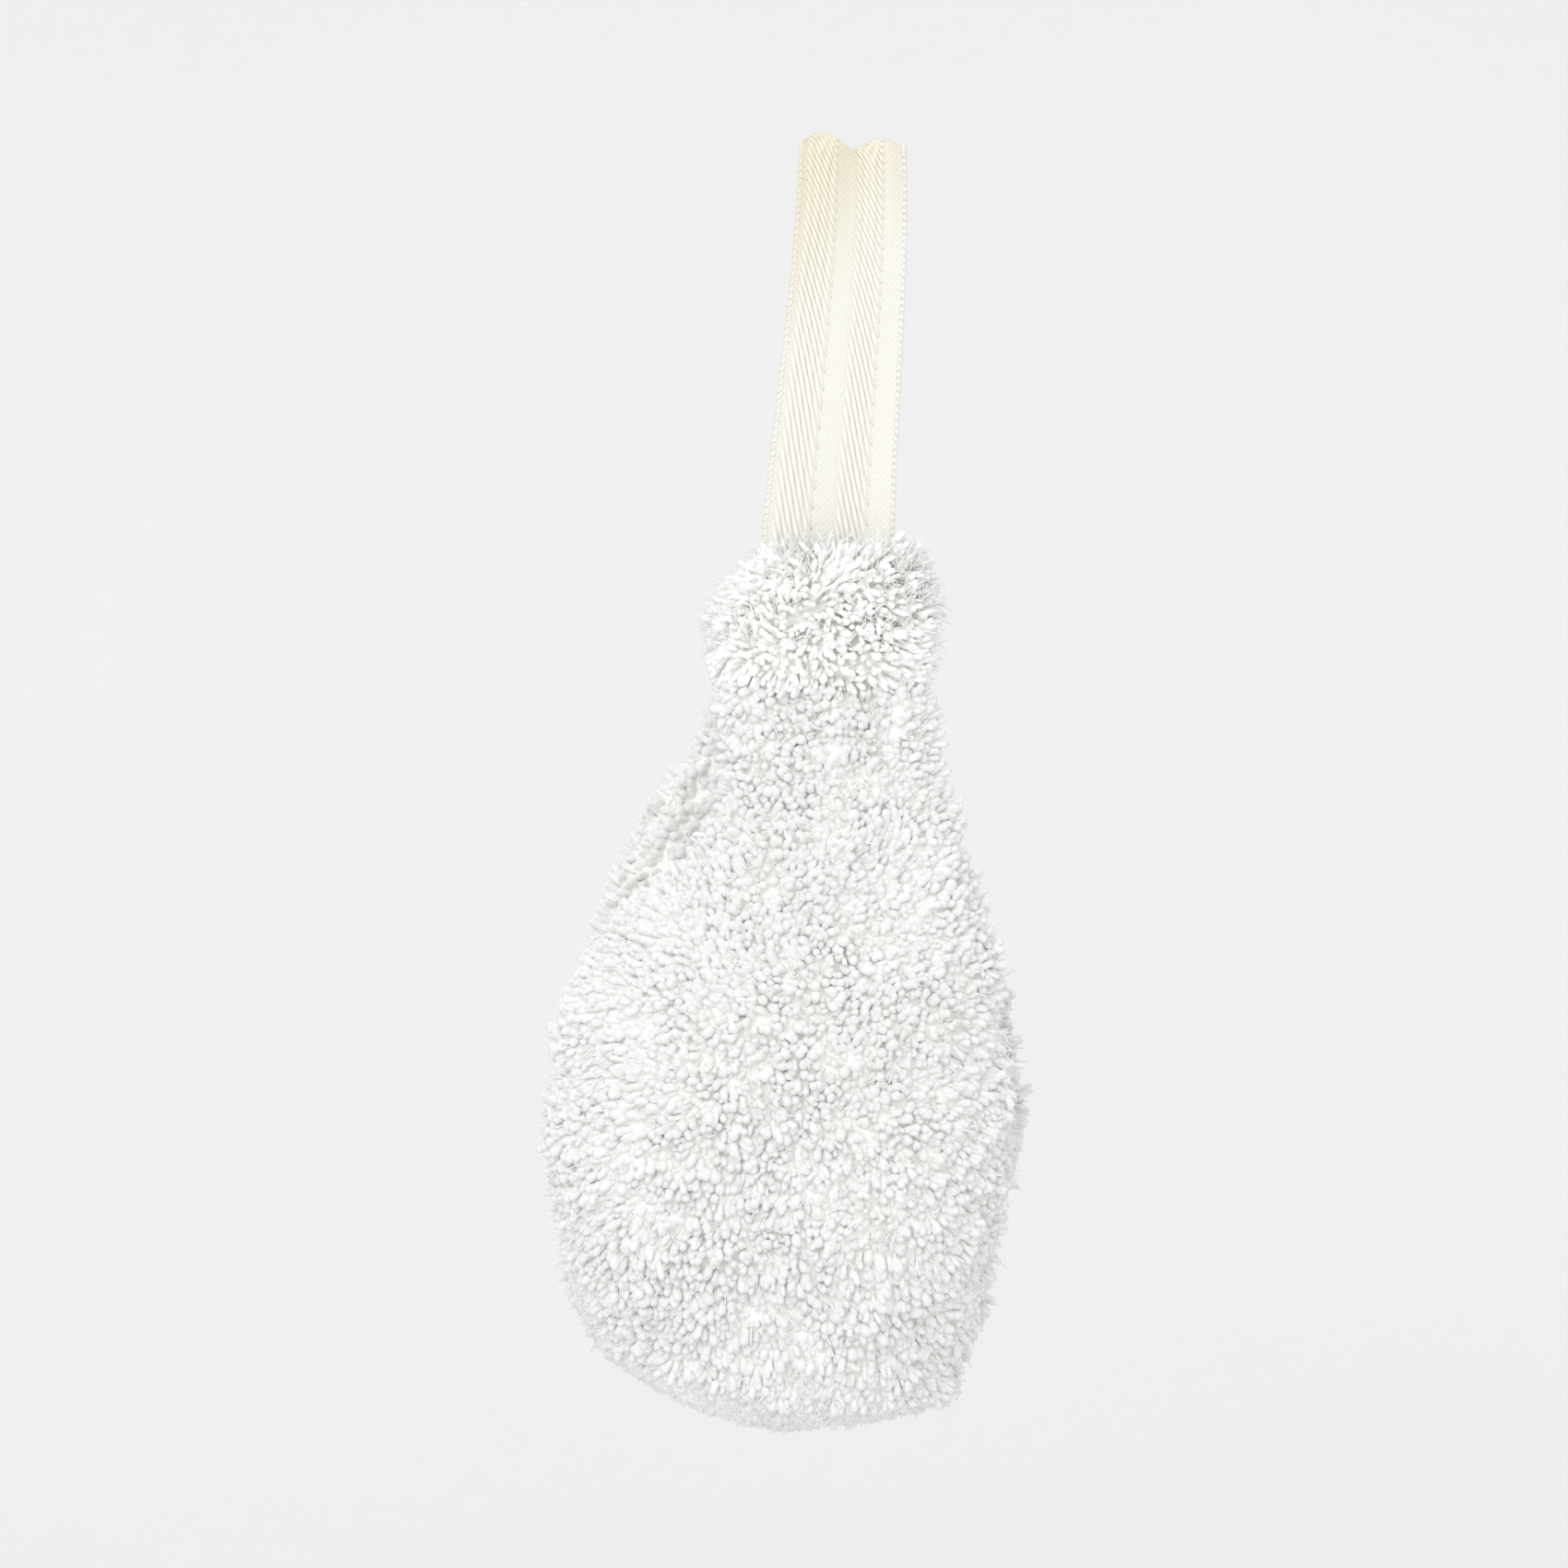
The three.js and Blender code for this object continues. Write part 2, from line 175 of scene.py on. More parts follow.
def loop_profile(count=1201):
    """The loop's middle line from inside the near collar, round the brow, to inside the far collar."""

    def on_run(down):
        return (CROWN_MIDDLE + (down - 0.0025) * math.tan(TILT), -down)

    neck = on_run(COLLAR_BOTTOM)[0]
    half = [on_run(d) for d in (COLLAR_TOP + 0.003, COLLAR_TOP + 0.014, COLLAR_BOTTOM - 0.005, COLLAR_BOTTOM + 0.001)]
    half.append((mix(neck, 0.027, 0.42), -mix(COLLAR_BOTTOM, BELLY, 0.38)))
    for turn in (0, 15, 30, 45, 60, 75):
        a = math.radians(turn)
        half.append((0.027 * math.cos(a) ** 0.85, -mix(BELLY, BROW, math.sin(a) ** 0.85)))
    near = [(-y, z) for y, z in half]
    corners = np.array(near + [(0.0, -BROW)] + half[::-1])
    lengths = np.r_[0, np.cumsum(np.linalg.norm(np.diff(corners, axis=0), axis=1) ** 0.5)]
    tangents = np.gradient(corners, lengths, axis=0)
    at = np.linspace(0, lengths[-1], 4 * count)
    k = np.clip(np.searchsorted(lengths, at, "right") - 1, 0, len(corners) - 2)
    h = lengths[k + 1] - lengths[k]
    s = ((at - lengths[k]) / h)[:, None]
    h = h[:, None]
    line = (
        (2 * s**3 - 3 * s**2 + 1) * corners[k]
        + (s**3 - 2 * s**2 + s) * h * tangents[k]
        + (3 * s**2 - 2 * s**3) * corners[k + 1]
        + (s**3 - s**2) * h * tangents[k + 1]
    )
    walked = np.r_[0, np.cumsum(np.linalg.norm(np.diff(line, axis=0), axis=1))]
    even = np.linspace(0, walked[-1], count)
    return np.c_[np.interp(even, walked, line[:, 0]), np.interp(even, walked, line[:, 1])], walked[-1]


PROFILE, LOOP_LENGTH = loop_profile()


def on_profile(t):
    at = np.clip(t, 0, 1) * (len(PROFILE) - 1)
    grid = np.arange(len(PROFILE))
    return np.interp(at, grid, PROFILE[:, 0]), np.interp(at, grid, PROFILE[:, 1])


def band_middle(t, u):
    """Middle surface of the band before it is draped: t along the loop, u from edge to edge."""
    y, z = on_profile(t)
    down = -z
    throat = smooth(down, COLLAR_BOTTOM, COLLAR_BOTTOM + 0.006)
    shoulder = smooth(down, COLLAR_BOTTOM + 0.007, BELLY - 0.012)
    low = smooth(down, BELLY + 0.005, BROW)
    half = mix(mix(mix(0.015, 0.0195, throat), 0.0425, shoulder), 0.0385, low)
    roll = smooth(down, COLLAR_BOTTOM + 0.004, BELLY)
    lift = smooth(down, BELLY - 0.020, BROW)
    bend = 1.25
    turned = np.sin(u * bend) / math.sin(bend)
    bowl = (1 - np.cos(u * bend)) / (1 - math.cos(bend))
    cup = bowl**1.25
    x = mix(u, turned, roll) * half
    return np.stack([x, y * (1 - 0.42 * cup * roll), z + 0.037 * bowl**1.6 * lift], axis=-1)


def band_place(t, u, offset):
    """A place at an offset from the middle surface, positive outside the loop, as it hangs."""
    step = 2e-3
    along = band_middle(t + step, u) - band_middle(t - step, u)
    across = band_middle(t, u + step) - band_middle(t, u - step)
    normal = np.cross(along, across)
    normal /= np.linalg.norm(normal, axis=-1, keepdims=True)
    return drape(band_middle(t, u) + normal * np.asarray(offset)[..., None])


def half_gap(t):
    down = -on_profile(t)[1]
    return mix(0.00105, 0.00075, smooth(down, COLLAR_BOTTOM, COLLAR_BOTTOM + 0.024))


def gathers(t, u):
    """Soft folds that run down from the gathered ends and fade out on the shoulders."""
    y, z = on_profile(t)
    fade = smooth(-z, COLLAR_BOTTOM - 0.001, COLLAR_BOTTOM + 0.006) * (1 - smooth(-z, COLLAR_BOTTOM + 0.012, BELLY - 0.015))
    phase = np.where(y > 0, 1.3, 0.2)
    folds = np.cos(7.5 * u + phase + 2.0 * u * u) + 0.4 * np.cos(11.0 * u - 2 * phase)
    return fade * 0.0012 * folds * (1 - u * u)


def plush_height(full, t, u):
    """Thickness of the plush at a place: pressed in the collars, thin at the long edges."""
    down = -on_profile(t)[1]
    centre = mix(0.0035, full, smooth(down, COLLAR_BOTTOM - 0.004, COLLAR_BOTTOM + 0.007))
    edge = mix(np.sqrt(np.clip(1 - u**4, 0, 1)), 1.0, 0.16)
    return mix(centre, centre * edge, smooth(down, COLLAR_BOTTOM, COLLAR_BOTTOM + 0.012))


class Swirls:
    """Smooth, repeatable unevenness in space."""

    def __init__(self, seed, size, waves=9):
        rng = np.random.default_rng(seed)
        ways = rng.normal(size=(waves, 3))
        ways /= np.linalg.norm(ways, axis=1, keepdims=True)
        self.ways = ways * (2 * math.pi / size) * rng.uniform(0.6, 1.5, size=(waves, 1))
        self.phases = rng.uniform(0, 2 * math.pi, size=(waves, 3))
        self.scale = math.sqrt(2 / waves)

    def __call__(self, points):
        turns = points @ self.ways.T
        return np.stack([np.sin(turns + self.phases[:, k]).sum(axis=-1) * self.scale for k in range(3)], axis=-1)


# ------------------------------------------------------------------ finishes


class Amount:
    """A socket's value that can be used in sums."""

    def __init__(self, finish, socket):
        self.finish = finish
        self.socket = socket

    def combine(self, operation, first, second):
        node = self.finish.node("ShaderNodeMath", {"operation": operation}, {0: first, 1: second})
        return Amount(self.finish, node.outputs[0])

    def __add__(self, other):
        return self.combine("ADD", self, other)

    __radd__ = __add__

    def __sub__(self, other):
        return self.combine("SUBTRACT", self, other)

    def __rsub__(self, other):
        return self.combine("SUBTRACT", other, self)

    def __mul__(self, other):
        return self.combine("MULTIPLY", self, other)

    __rmul__ = __mul__

    def __pow__(self, other):
        return self.combine("POWER", self, other)


class Finish:
    """A material made of nodes."""

    def __init__(self, name, roughness, **constants):
        self.material = bpy.data.materials.new(name)
        self.material.use_nodes = True
        self.tree = self.material.node_tree
        self.surface = self.tree.nodes["Principled BSDF"]
        self.surface.inputs["Roughness"].default_value = roughness
        for socket, value in constants.items():
            self.surface.inputs[socket.replace("_", " ")].default_value = value

    def node(self, kind, settings=None, sockets=None):
        node = self.tree.nodes.new(kind)
        for key, value in (settings or {}).items():
            setattr(node, key, value)
        for key, value in (sockets or {}).items():
            self.join(node.inputs[key], value)
        return node

    def join(self, socket, value):
        if isinstance(value, Amount):
            value = value.socket
        if isinstance(value, bpy.types.NodeSocket):
            self.tree.links.new(value, socket)
        else:
            socket.default_value = value

    def amount(self, node, output=0):
        return Amount(self, node.outputs[output])

    def attribute(self, name):
        return self.amount(self.node("ShaderNodeAttribute", {"attribute_name": name}), "Fac")

    def blend(self, factor, first, second):
        node = self.node("ShaderNodeMix", {"data_type": "RGBA"}, {0: factor, 6: first, 7: second})
        return node.outputs[2]

    def darken(self, factor, first, second):
        settings = {"data_type": "RGBA", "blend_type": "MULTIPLY"}
        return self.node("ShaderNodeMix", settings, {0: factor, 6: first, 7: second}).outputs[2]

    def noise(self, vector, scale, detail=2.0):
        return self.amount(self.node("ShaderNodeTexNoise", None, {"Vector": vector, "Scale": scale, "Detail": detail}))

    def bump(self, height, distance, strength=1.0):
        sockets = {"Height": height, "Distance": distance, "Strength": strength}
        return self.node("ShaderNodeBump", None, sockets).outputs[0]


def rgba(colour):
    return (*colour, 1.0)


def pile_finish(name, tip):
    """Cut pile: roots painted lighter than the tips, painted light that lifts the shade deep between the tufts and
    tones down the lit tips, and faint fibres along each tuft.
    """
    plush = bpy.context.scene.headband_plush
    finish = Finish(name, 0.95, Sheen_Weight=0.3, Sheen_Roughness=0.6, Specular_IOR_Level=0.2)
    place = finish.node("ShaderNodeTexCoord").outputs["Object"]
    along = finish.attribute("along")
    tone = finish.attribute("tone")
    drift = finish.noise(place, 70.0)
    fibre = finish.noise(place, 2600.0, 3.0)
    depth = finish.node(
        "ShaderNodeMapRange", {"clamp": True}, {"Value": along + (fibre - 0.5) * 0.25, "From Min": 0.25, "From Max": 0.95}
    )
    # Painted light: colour runs from the lighter roots to the darker tips, against the shade that falls between the
    # tufts.
    colour = finish.blend(finish.amount(depth), rgba(plush.root), rgba(tip))
    grey = finish.blend(tone * 0.6 + drift * 0.4, (0.965, 0.965, 0.965, 1), (1.0, 1.0, 1.0, 1))
    finish.join(finish.surface.inputs["Base Color"], finish.darken(1.0, colour, grey))
    finish.join(finish.surface.inputs["Normal"], finish.bump(fibre, 0.00012, 0.5))
    return finish.material


def backing_finish():
    """The knitted ground that the pile stands on."""
    plush = bpy.context.scene.headband_plush
    finish = Finish("plush_backing_knit", 0.95)
    place = finish.node("ShaderNodeTexCoord").outputs["Object"]
    coarse = finish.noise(place, 380.0, 3.0)
    fine = finish.noise(place, 2200.0, 2.0)
    # The ground's mottle blends towards the pile's root colour, partly its own tone and partly the painted light that
    # lifts the shade under the tufts.
    colour = finish.blend(coarse * 0.6 + fine * 0.4, (0.97, 0.965, 0.94, 1), rgba(plush.root))
    finish.join(finish.surface.inputs["Base Color"], colour)
    finish.join(finish.surface.inputs["Normal"], finish.bump(coarse + fine, 0.0004, 0.7))
    return finish.material


def web_finish():
    """The strap's fine ground weave: close dotted diagonals of covered yarn, with painted shade between the dots."""
    strap = bpy.context.scene.headband_strap
    finish = Finish("elastic_ground_weave", 0.62, Sheen_Weight=0.15, Sheen_Roughness=0.4)
    uv = finish.node("ShaderNodeUVMap", {"uv_map": "weave"}).outputs[0]
    split = finish.node("ShaderNodeSeparateXYZ", None, {0: uv})
    across, along = finish.amount(split, 0), finish.amount(split, 1)

    def wave(value):
        sine = finish.node("ShaderNodeMath", {"operation": "SINE"}, {0: value})
        return finish.amount(sine) * 0.5 + 0.5

    turn = 2 * math.pi / 0.62
    dots = wave((across + along) * turn) * wave((across - along) * turn * 0.5)
    dots_and_crown_shade = finish.node("ShaderNodeMapRange", {"clamp": True}, {"Value": dots, "From Min": 0.02, "From Max": 0.45})
    colour = finish.blend(finish.amount(dots_and_crown_shade), rgba(strap.shade), rgba(strap.ivory))
    # The weave takes the crown's painted shade towards one side of the crown.
    finish.join(finish.surface.inputs["Base Color"], finish.darken(1.0, colour, crown_painted_shade(finish)))
    finish.join(finish.surface.inputs["Normal"], finish.bump(dots, 0.00012, 1.0))
    return finish.material


def crown_painted_shade(finish):
    """Painted shade: a warmer, darker cast on the strap towards one side of its crown, where its crease is shaded."""
    place = finish.node("ShaderNodeTexCoord").outputs["Object"]
    split = finish.node("ShaderNodeSeparateXYZ", None, {0: place})
    spot = finish.amount(split, 2) - finish.amount(split, 0) + (finish.noise(place, 60.0) - 0.5) * 0.012
    near = finish.node("ShaderNodeMapRange", {"clamp": True}, {"Value": spot, "From Min": -0.034, "From Max": -0.004})
    return finish.blend(finish.amount(near), (1, 1, 1, 1), (0.955, 0.90, 0.80, 1))


def yarn_finish(name, colour, shade, turns, dots_and_crown_shade=False):
    """Twisted yarn: plies wind round it, with painted shade where they sink together."""
    finish = Finish(name, 0.55, Sheen_Weight=0.2, Sheen_Roughness=0.35)
    uv = finish.node("ShaderNodeUVMap", {"uv_map": "twist"}).outputs[0]
    split = finish.node("ShaderNodeSeparateXYZ", None, {0: uv})
    ply = finish.amount(split, 0) + finish.amount(split, 1) * turns
    sine = finish.node("ShaderNodeMath", {"operation": "SINE"}, {0: ply * (2 * math.pi)})
    twist = finish.amount(sine) * 0.5 + 0.5
    fluff = finish.noise(finish.node("ShaderNodeTexCoord").outputs["Object"], 3000.0)
    height = twist * 0.8 + fluff * 0.2
    colour = finish.blend(height, rgba(shade), rgba(colour))
    # Painted shade on the crown, warmer and darker towards one side of it.
    if dots_and_crown_shade:
        colour = finish.darken(1.0, colour, crown_painted_shade(finish))
    finish.join(finish.surface.inputs["Base Color"], colour)
    finish.join(finish.surface.inputs["Normal"], finish.bump(height, 0.00008, 0.8))
    return finish.material


def thread_finish():
    """Sewing thread on the pieces that carry no map of their own, with painted shade in the grooves of its twist."""
    finish = Finish("sewing_thread", 0.6, Sheen_Weight=0.15)
    place = finish.node("ShaderNodeTexCoord").outputs["Object"]
    split = finish.node("ShaderNodeSeparateXYZ", None, {0: place})
    slant = finish.amount(split, 0) + finish.amount(split, 1) * 0.6 + finish.amount(split, 2)
    sine = finish.node("ShaderNodeMath", {"operation": "SINE"}, {0: slant * (2 * math.pi / 0.0004)})
    twist = finish.amount(sine) * 0.5 + 0.5
    finish.join(finish.surface.inputs["Base Color"], finish.blend(twist, (0.74, 0.72, 0.66, 1), (0.93, 0.91, 0.86, 1)))
    finish.join(finish.surface.inputs["Normal"], finish.bump(twist, 0.00008, 0.8))
    return finish.material


FINISHES = {}


def finish_of(name):
    makers = {
        "pile": lambda: pile_finish("white_plush_pile", bpy.context.scene.headband_plush.tip),
        # Painted light: the fine fibres use the pile finish with a lighter colour at their tips.
        "fuzz_painted_light": lambda: pile_finish("white_plush_fuzz", bpy.context.scene.headband_plush.fuzz_painted_light),
        "backing": backing_finish,
        "web": web_finish,
        "thread": thread_finish,
        # The rib yarn carries the crown's painted shade.
        "yarn": lambda: yarn_finish("elastic_rib_yarn", (0.90, 0.895, 0.845), (0.79, 0.775, 0.70), 5.0, True),
        "seam": lambda: yarn_finish("seam_thread_twist", (0.93, 0.92, 0.88), (0.66, 0.64, 0.58), 9.0),
    }
    if name not in FINISHES:
        FINISHES[name] = makers[name]()
    return FINISHES[name]


# ------------------------------------------------------------------ making meshes


def new_piece(name, mesh, finish):
    piece = bpy.data.objects.new(name, mesh)
    bpy.context.scene.collection.objects.link(piece)
    mesh.materials.clear()
    mesh.materials.append(finish_of(finish))
    return piece


def shade_smooth(mesh):
    mesh.polygons.foreach_set("use_smooth", np.ones(len(mesh.polygons), bool))
    mesh.update()


def coordinates(mesh):
    co = np.empty(len(mesh.vertices) * 3)
    mesh.vertices.foreach_get("co", co)
    return co.reshape(-1, 3)


def normals_of(mesh):
    normals = np.empty(len(mesh.vertices) * 3)
    mesh.vertex_normals.foreach_get("vector", normals)
    return normals.reshape(-1, 3)


def set_coordinates(mesh, co):
    mesh.vertices.foreach_set("co", np.asarray(co, np.float32).ravel())
    mesh.update()


def slab(name, rows, columns):
    """A closed slab in its own measure: x across -1..1, y along 0..1, z through 0..1, and the grid of its corners."""
    bm = bmesh.new()
    bmesh.ops.create_grid(bm, x_segments=columns, y_segments=rows, size=1.0)
    lower = list(bm.verts)
    raised = bmesh.ops.extrude_face_region(bm, geom=list(bm.faces), use_keep_orig=True)
    upper = [part for part in raised["geom"] if isinstance(part, bmesh.types.BMVert)]
    bmesh.ops.translate(bm, verts=upper, vec=(0, 0, 1))
    for vert in lower:
        vert.co.z = 0.0
    bmesh.ops.recalc_face_normals(bm, faces=list(bm.faces))
    mesh = bpy.data.meshes.new(name)
    bm.to_mesh(mesh)
    bm.free()
    own = coordinates(mesh)
    u, v, layer = own[:, 0], (own[:, 1] + 1) / 2, own[:, 2]
    grid = np.zeros((2, rows + 1, columns + 1), int)
    where = np.rint(np.c_[layer, v * rows, (u + 1) / 2 * columns]).astype(int)
    grid[where[:, 0], where[:, 1], where[:, 2]] = np.arange(len(own))
    return mesh, u, v, layer, grid


def settle(piece, pinned, pressure, cap):
    """Lets the cloth swell and pucker under a little pressure, then keeps the shape it has found."""
    mesh = piece.data
    before = coordinates(mesh)
    group = piece.vertex_groups.new(name="held")
    for index in np.flatnonzero(pinned):
        group.add([int(index)], 1.0, "REPLACE")
    cloth = piece.modifiers.new("settle", "CLOTH")
    cloth.settings.quality = 4
    cloth.settings.mass = 0.2
    cloth.settings.tension_stiffness = 12
    cloth.settings.compression_stiffness = 6
    cloth.settings.shear_stiffness = 4
    cloth.settings.bending_stiffness = 0.4
    cloth.settings.use_pressure = True
    cloth.settings.uniform_pressure_force = pressure
    cloth.settings.vertex_group_mass = "held"
    cloth.settings.effector_weights.gravity = 0.0
    cloth.point_cache.frame_start = 1
    cloth.point_cache.frame_end = 20
    scene = bpy.context.scene
    for step in range(1, 21):
        scene.frame_set(step)
    shown = piece.evaluated_get(bpy.context.evaluated_depsgraph_get())
    moved = coordinates(shown.data) - before
    far = np.linalg.norm(moved, axis=1, keepdims=True)
    moved *= np.minimum(1.0, cap / np.maximum(far, 1e-9))
    piece.modifiers.clear()
    piece.vertex_groups.clear()
    scene.frame_set(1)
    set_coordinates(mesh, before + moved)


def tuft_pattern(sides=6, bands=4):
    """One tuft as a closed grain: its corners (across, across, along 0..1), faces and their places on a flat map."""
    bm = bmesh.new()
    bmesh.ops.create_uvsphere(bm, u_segments=sides, v_segments=bands, radius=1.0)
    bmesh.ops.translate(bm, verts=list(bm.verts), vec=(0, 0, 1))
    bmesh.ops.scale(bm, verts=list(bm.verts), vec=(1, 1, 0.5))
    bm.verts.ensure_lookup_table()
    corners = np.array([vert.co[:] for vert in bm.verts])
    faces = [[vert.index for vert in face.verts] for face in bm.faces]
    bm.free()
    maps = []
    for face in faces:
        around = np.arctan2(corners[face, 1], corners[face, 0]) % (2 * math.pi)
        pole = np.hypot(corners[face, 0], corners[face, 1]) < 1e-4
        rim = around[~pole]
        rim = np.where(rim.max() - rim > math.pi, rim + 2 * math.pi, rim)
        around[~pole] = rim
        around[pole] = rim.mean()
        maps.append(np.c_[around / (2 * math.pi), corners[face, 2]])
    return corners, faces, maps


TUFT = tuft_pattern()
FIBRE = tuft_pattern(sides=3)


def tufts(name, roots, upright, lean_way, lean, length, width, seed, pattern, finish):
    """Many tufts in one mesh. Each starts at its root, rises along upright and bends over towards lean_way."""
    corners, faces, maps = pattern
    rng = np.random.default_rng(seed)
    count = len(roots)
    along = corners[:, 2]
    side_way = np.cross(upright, lean_way)
    side_way /= np.linalg.norm(side_way, axis=1, keepdims=True)
    fraction = along[None, :, None]
    lean = lean[:, None, None]
    rise = np.cos(lean * (0.35 + 0.65 * fraction))
    reach = np.sin(lean * (0.35 + 0.65 * fraction))
    length = length[:, None, None]
    line = length * fraction * (rise * upright[:, None, :] + reach * lean_way[:, None, :])
    facing = rise * lean_way[:, None, :] - reach * upright[:, None, :]
    fuller = 0.72 + 0.80 * along**2
    spin = rng.uniform(0, 2 * math.pi, count)[:, None]
    x = (np.cos(spin) * corners[:, 0] - np.sin(spin) * corners[:, 1]) * fuller
    y = (np.sin(spin) * corners[:, 0] + np.cos(spin) * corners[:, 1]) * fuller
    half = (width / 2)[:, None, None]
    co = roots[:, None, :] + line + half * (x[..., None] * side_way[:, None, :] + y[..., None] * facing)
    sizes = np.array([len(face) for face in faces])
    flat = np.concatenate(faces)
    mesh = bpy.data.meshes.new(name)
    mesh.vertices.add(count * len(corners))
    mesh.vertices.foreach_set("co", co.astype(np.float32).ravel())
    loops = (flat[None, :] + np.arange(count)[:, None] * len(corners)).ravel()
    mesh.loops.add(len(loops))
    mesh.loops.foreach_set("vertex_index", loops.astype(np.int32))
    starts = np.r_[0, np.cumsum(np.tile(sizes, count))[:-1]]
    mesh.polygons.add(count * len(faces))
    mesh.polygons.foreach_set("loop_start", starts.astype(np.int32))
    mesh.update(calc_edges=True)
    mesh.validate()
    tone = mesh.attributes.new("tone", "FLOAT", "POINT")
    tone.data.foreach_set("value", np.repeat(rng.uniform(0, 1, count), len(corners)).astype(np.float32))
    depth = mesh.attributes.new("along", "FLOAT", "POINT")
    depth.data.foreach_set("value", np.tile(along, count).astype(np.float32))
    cells = math.ceil(math.sqrt(count))
    own = np.concatenate(maps) * 0.84 + 0.08
    cell = np.c_[np.arange(count) % cells, np.arange(count) // cells]
    uv = mesh.uv_layers.new(name="OFBake")
    flat_map = (own[None, :, :] + cell[:, None, :]) / cells
    uv.data.foreach_set("uv", flat_map.astype(np.float32).ravel())
    shade_smooth(mesh)
    return new_piece(name, mesh, finish)


def seed_rows(lines, normals, spacing, seed):
    """Roots in staggered rows over a sheet of lines, spaced evenly across and along, slightly uneven."""
    rng = np.random.default_rng(seed)
    steps = np.linalg.norm(np.diff(lines, axis=0), axis=2)
    typical = np.quantile(steps, 0.8, axis=1)
    walked = np.r_[0, np.cumsum(typical)]
    row_pitch = spacing * 0.87
    rows = np.arange(row_pitch / 2, walked[-1], row_pitch)
    ratio = np.vstack([steps[:1], steps]) / np.maximum(np.r_[typical[:1], typical], 1e-9)[:, None]
    found = []
    grid = np.arange(len(lines))
    at = np.interp(rows, walked, grid)
    for number, place in enumerate(at):
        places = place + rng.uniform(-0.22, 0.22) * row_pitch / max(walked[-1] / len(lines), 1e-9)
        low = int(np.clip(math.floor(places), 0, len(lines) - 2))
        share = np.clip(places - low, 0, 1)
        line = mix(lines[low], lines[low + 1], share)
        normal = mix(normals[low], normals[low + 1], share)
        crowd = mix(ratio[low], ratio[low + 1], share)
        length = np.r_[0, np.cumsum(np.linalg.norm(np.diff(line, axis=0), axis=1))]
        count = max(int(length[-1] / spacing), 1)
        spots = (np.arange(count) + (0.25 if number % 2 else 0.75) + rng.uniform(-0.34, 0.34, count)) * length[-1] / count
        keep = rng.uniform(size=count) < np.interp(spots, length, crowd) * 1.15
        spots = spots[keep]
        point = np.stack([np.interp(spots, length, line[:, k]) for k in range(3)], axis=1)
        way = np.stack([np.interp(spots, length, normal[:, k]) for k in range(3)], axis=1)
        found.append(np.c_[point, way])
    found = np.concatenate(found)
    points, ways = found[:, :3], found[:, 3:]
    points = points + rng.normal(scale=spacing * 0.17, size=points.shape)
    return points, ways / np.linalg.norm(ways, axis=1, keepdims=True)


def comb(points, upright, flow, seed, unruly):
    """Directions in the surface that follow a flow, with cowlicks where it strays."""
    rng = np.random.default_rng(seed)
    wide = Swirls(seed + 1, 0.034)(points)
    close = Swirls(seed + 2, 0.014)(points)
    clump = Swirls(seed + 3, 0.0065, 14)(points)
    stray = rng.normal(scale=0.30, size=points.shape)
    way = flow + unruly * (0.60 * wide + 0.42 * close + 0.20 * clump) + stray
    way -= upright * (way * upright).sum(axis=1, keepdims=True)
    strength = np.linalg.norm(way, axis=1)
    return way / np.maximum(strength, 1e-6)[:, None], strength


def pile(
    name, points, upright, flow, body, seed, unruly=0.45, length=1.0, width=1.0, pattern=None, finish="pile", sunk=0.0018
):
    """Covers seeded roots with tufts, in pieces of a few thousand tufts each."""
    pattern = pattern or TUFT
    spread = 190000 // sum(len(face) - 2 for face in pattern[1])
    plush = bpy.context.scene.headband_plush
    rng = np.random.default_rng(seed)
    way, strength = comb(points, upright, flow, seed, unruly)
    lean = np.clip(0.10 + 0.55 * strength, 0.10, 0.95) + rng.normal(scale=0.14, size=len(points))
    lean = np.clip(lean, 0.02, 1.35)
    uneven = 0.7 * Swirls(seed + 5, 0.020)(points)[:, 0] + Swirls(seed + 6, 0.006, 14)(points)[:, 1]
    hem = smooth(-upright[:, 2], 0.5, 0.85) * smooth(-points[:, 2], 0.19, 0.21)
    tall = plush.tuft_length * length * (1 - 0.42 * hem) * (1 + 0.10 * uneven + rng.normal(scale=0.11, size=len(points)))
    thick = plush.tuft_width * width * np.clip(1 + rng.normal(scale=0.22, size=len(points)), 0.5, 1.6)
    roots = points - upright * sunk
    pieces = []
    parts = max(1, math.ceil(len(points) / spread))
    for part in range(parts):
        pick = slice(part * len(points) // parts, (part + 1) * len(points) // parts)
        piece = tufts(
            f"{name}_{part + 1}",
            roots[pick],
            upright[pick],
            way[pick],
            lean[pick],
            tall[pick],
            thick[pick],
            seed + part,
            pattern,
            finish,
        )
        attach(piece, body)
        pieces.append(piece)
    return pieces


def sweep(path, widths, sides, up):
    """Corners of a tube along a path; widths is the half width at each step, up a guide across the path."""
    path = np.asarray(path, float)
    tangent = np.gradient(path, axis=0)
    tangent /= np.linalg.norm(tangent, axis=1, keepdims=True)
    across = np.cross(tangent, up)
    across /= np.linalg.norm(across, axis=1, keepdims=True)
    other = np.cross(across, tangent)
    turn = np.arange(sides) * 2 * math.pi / sides
    ring = np.cos(turn)[None, :, None] * across[:, None, :] + np.sin(turn)[None, :, None] * other[:, None, :]
    return path[:, None, :] + ring * np.asarray(widths)[:, None, None]


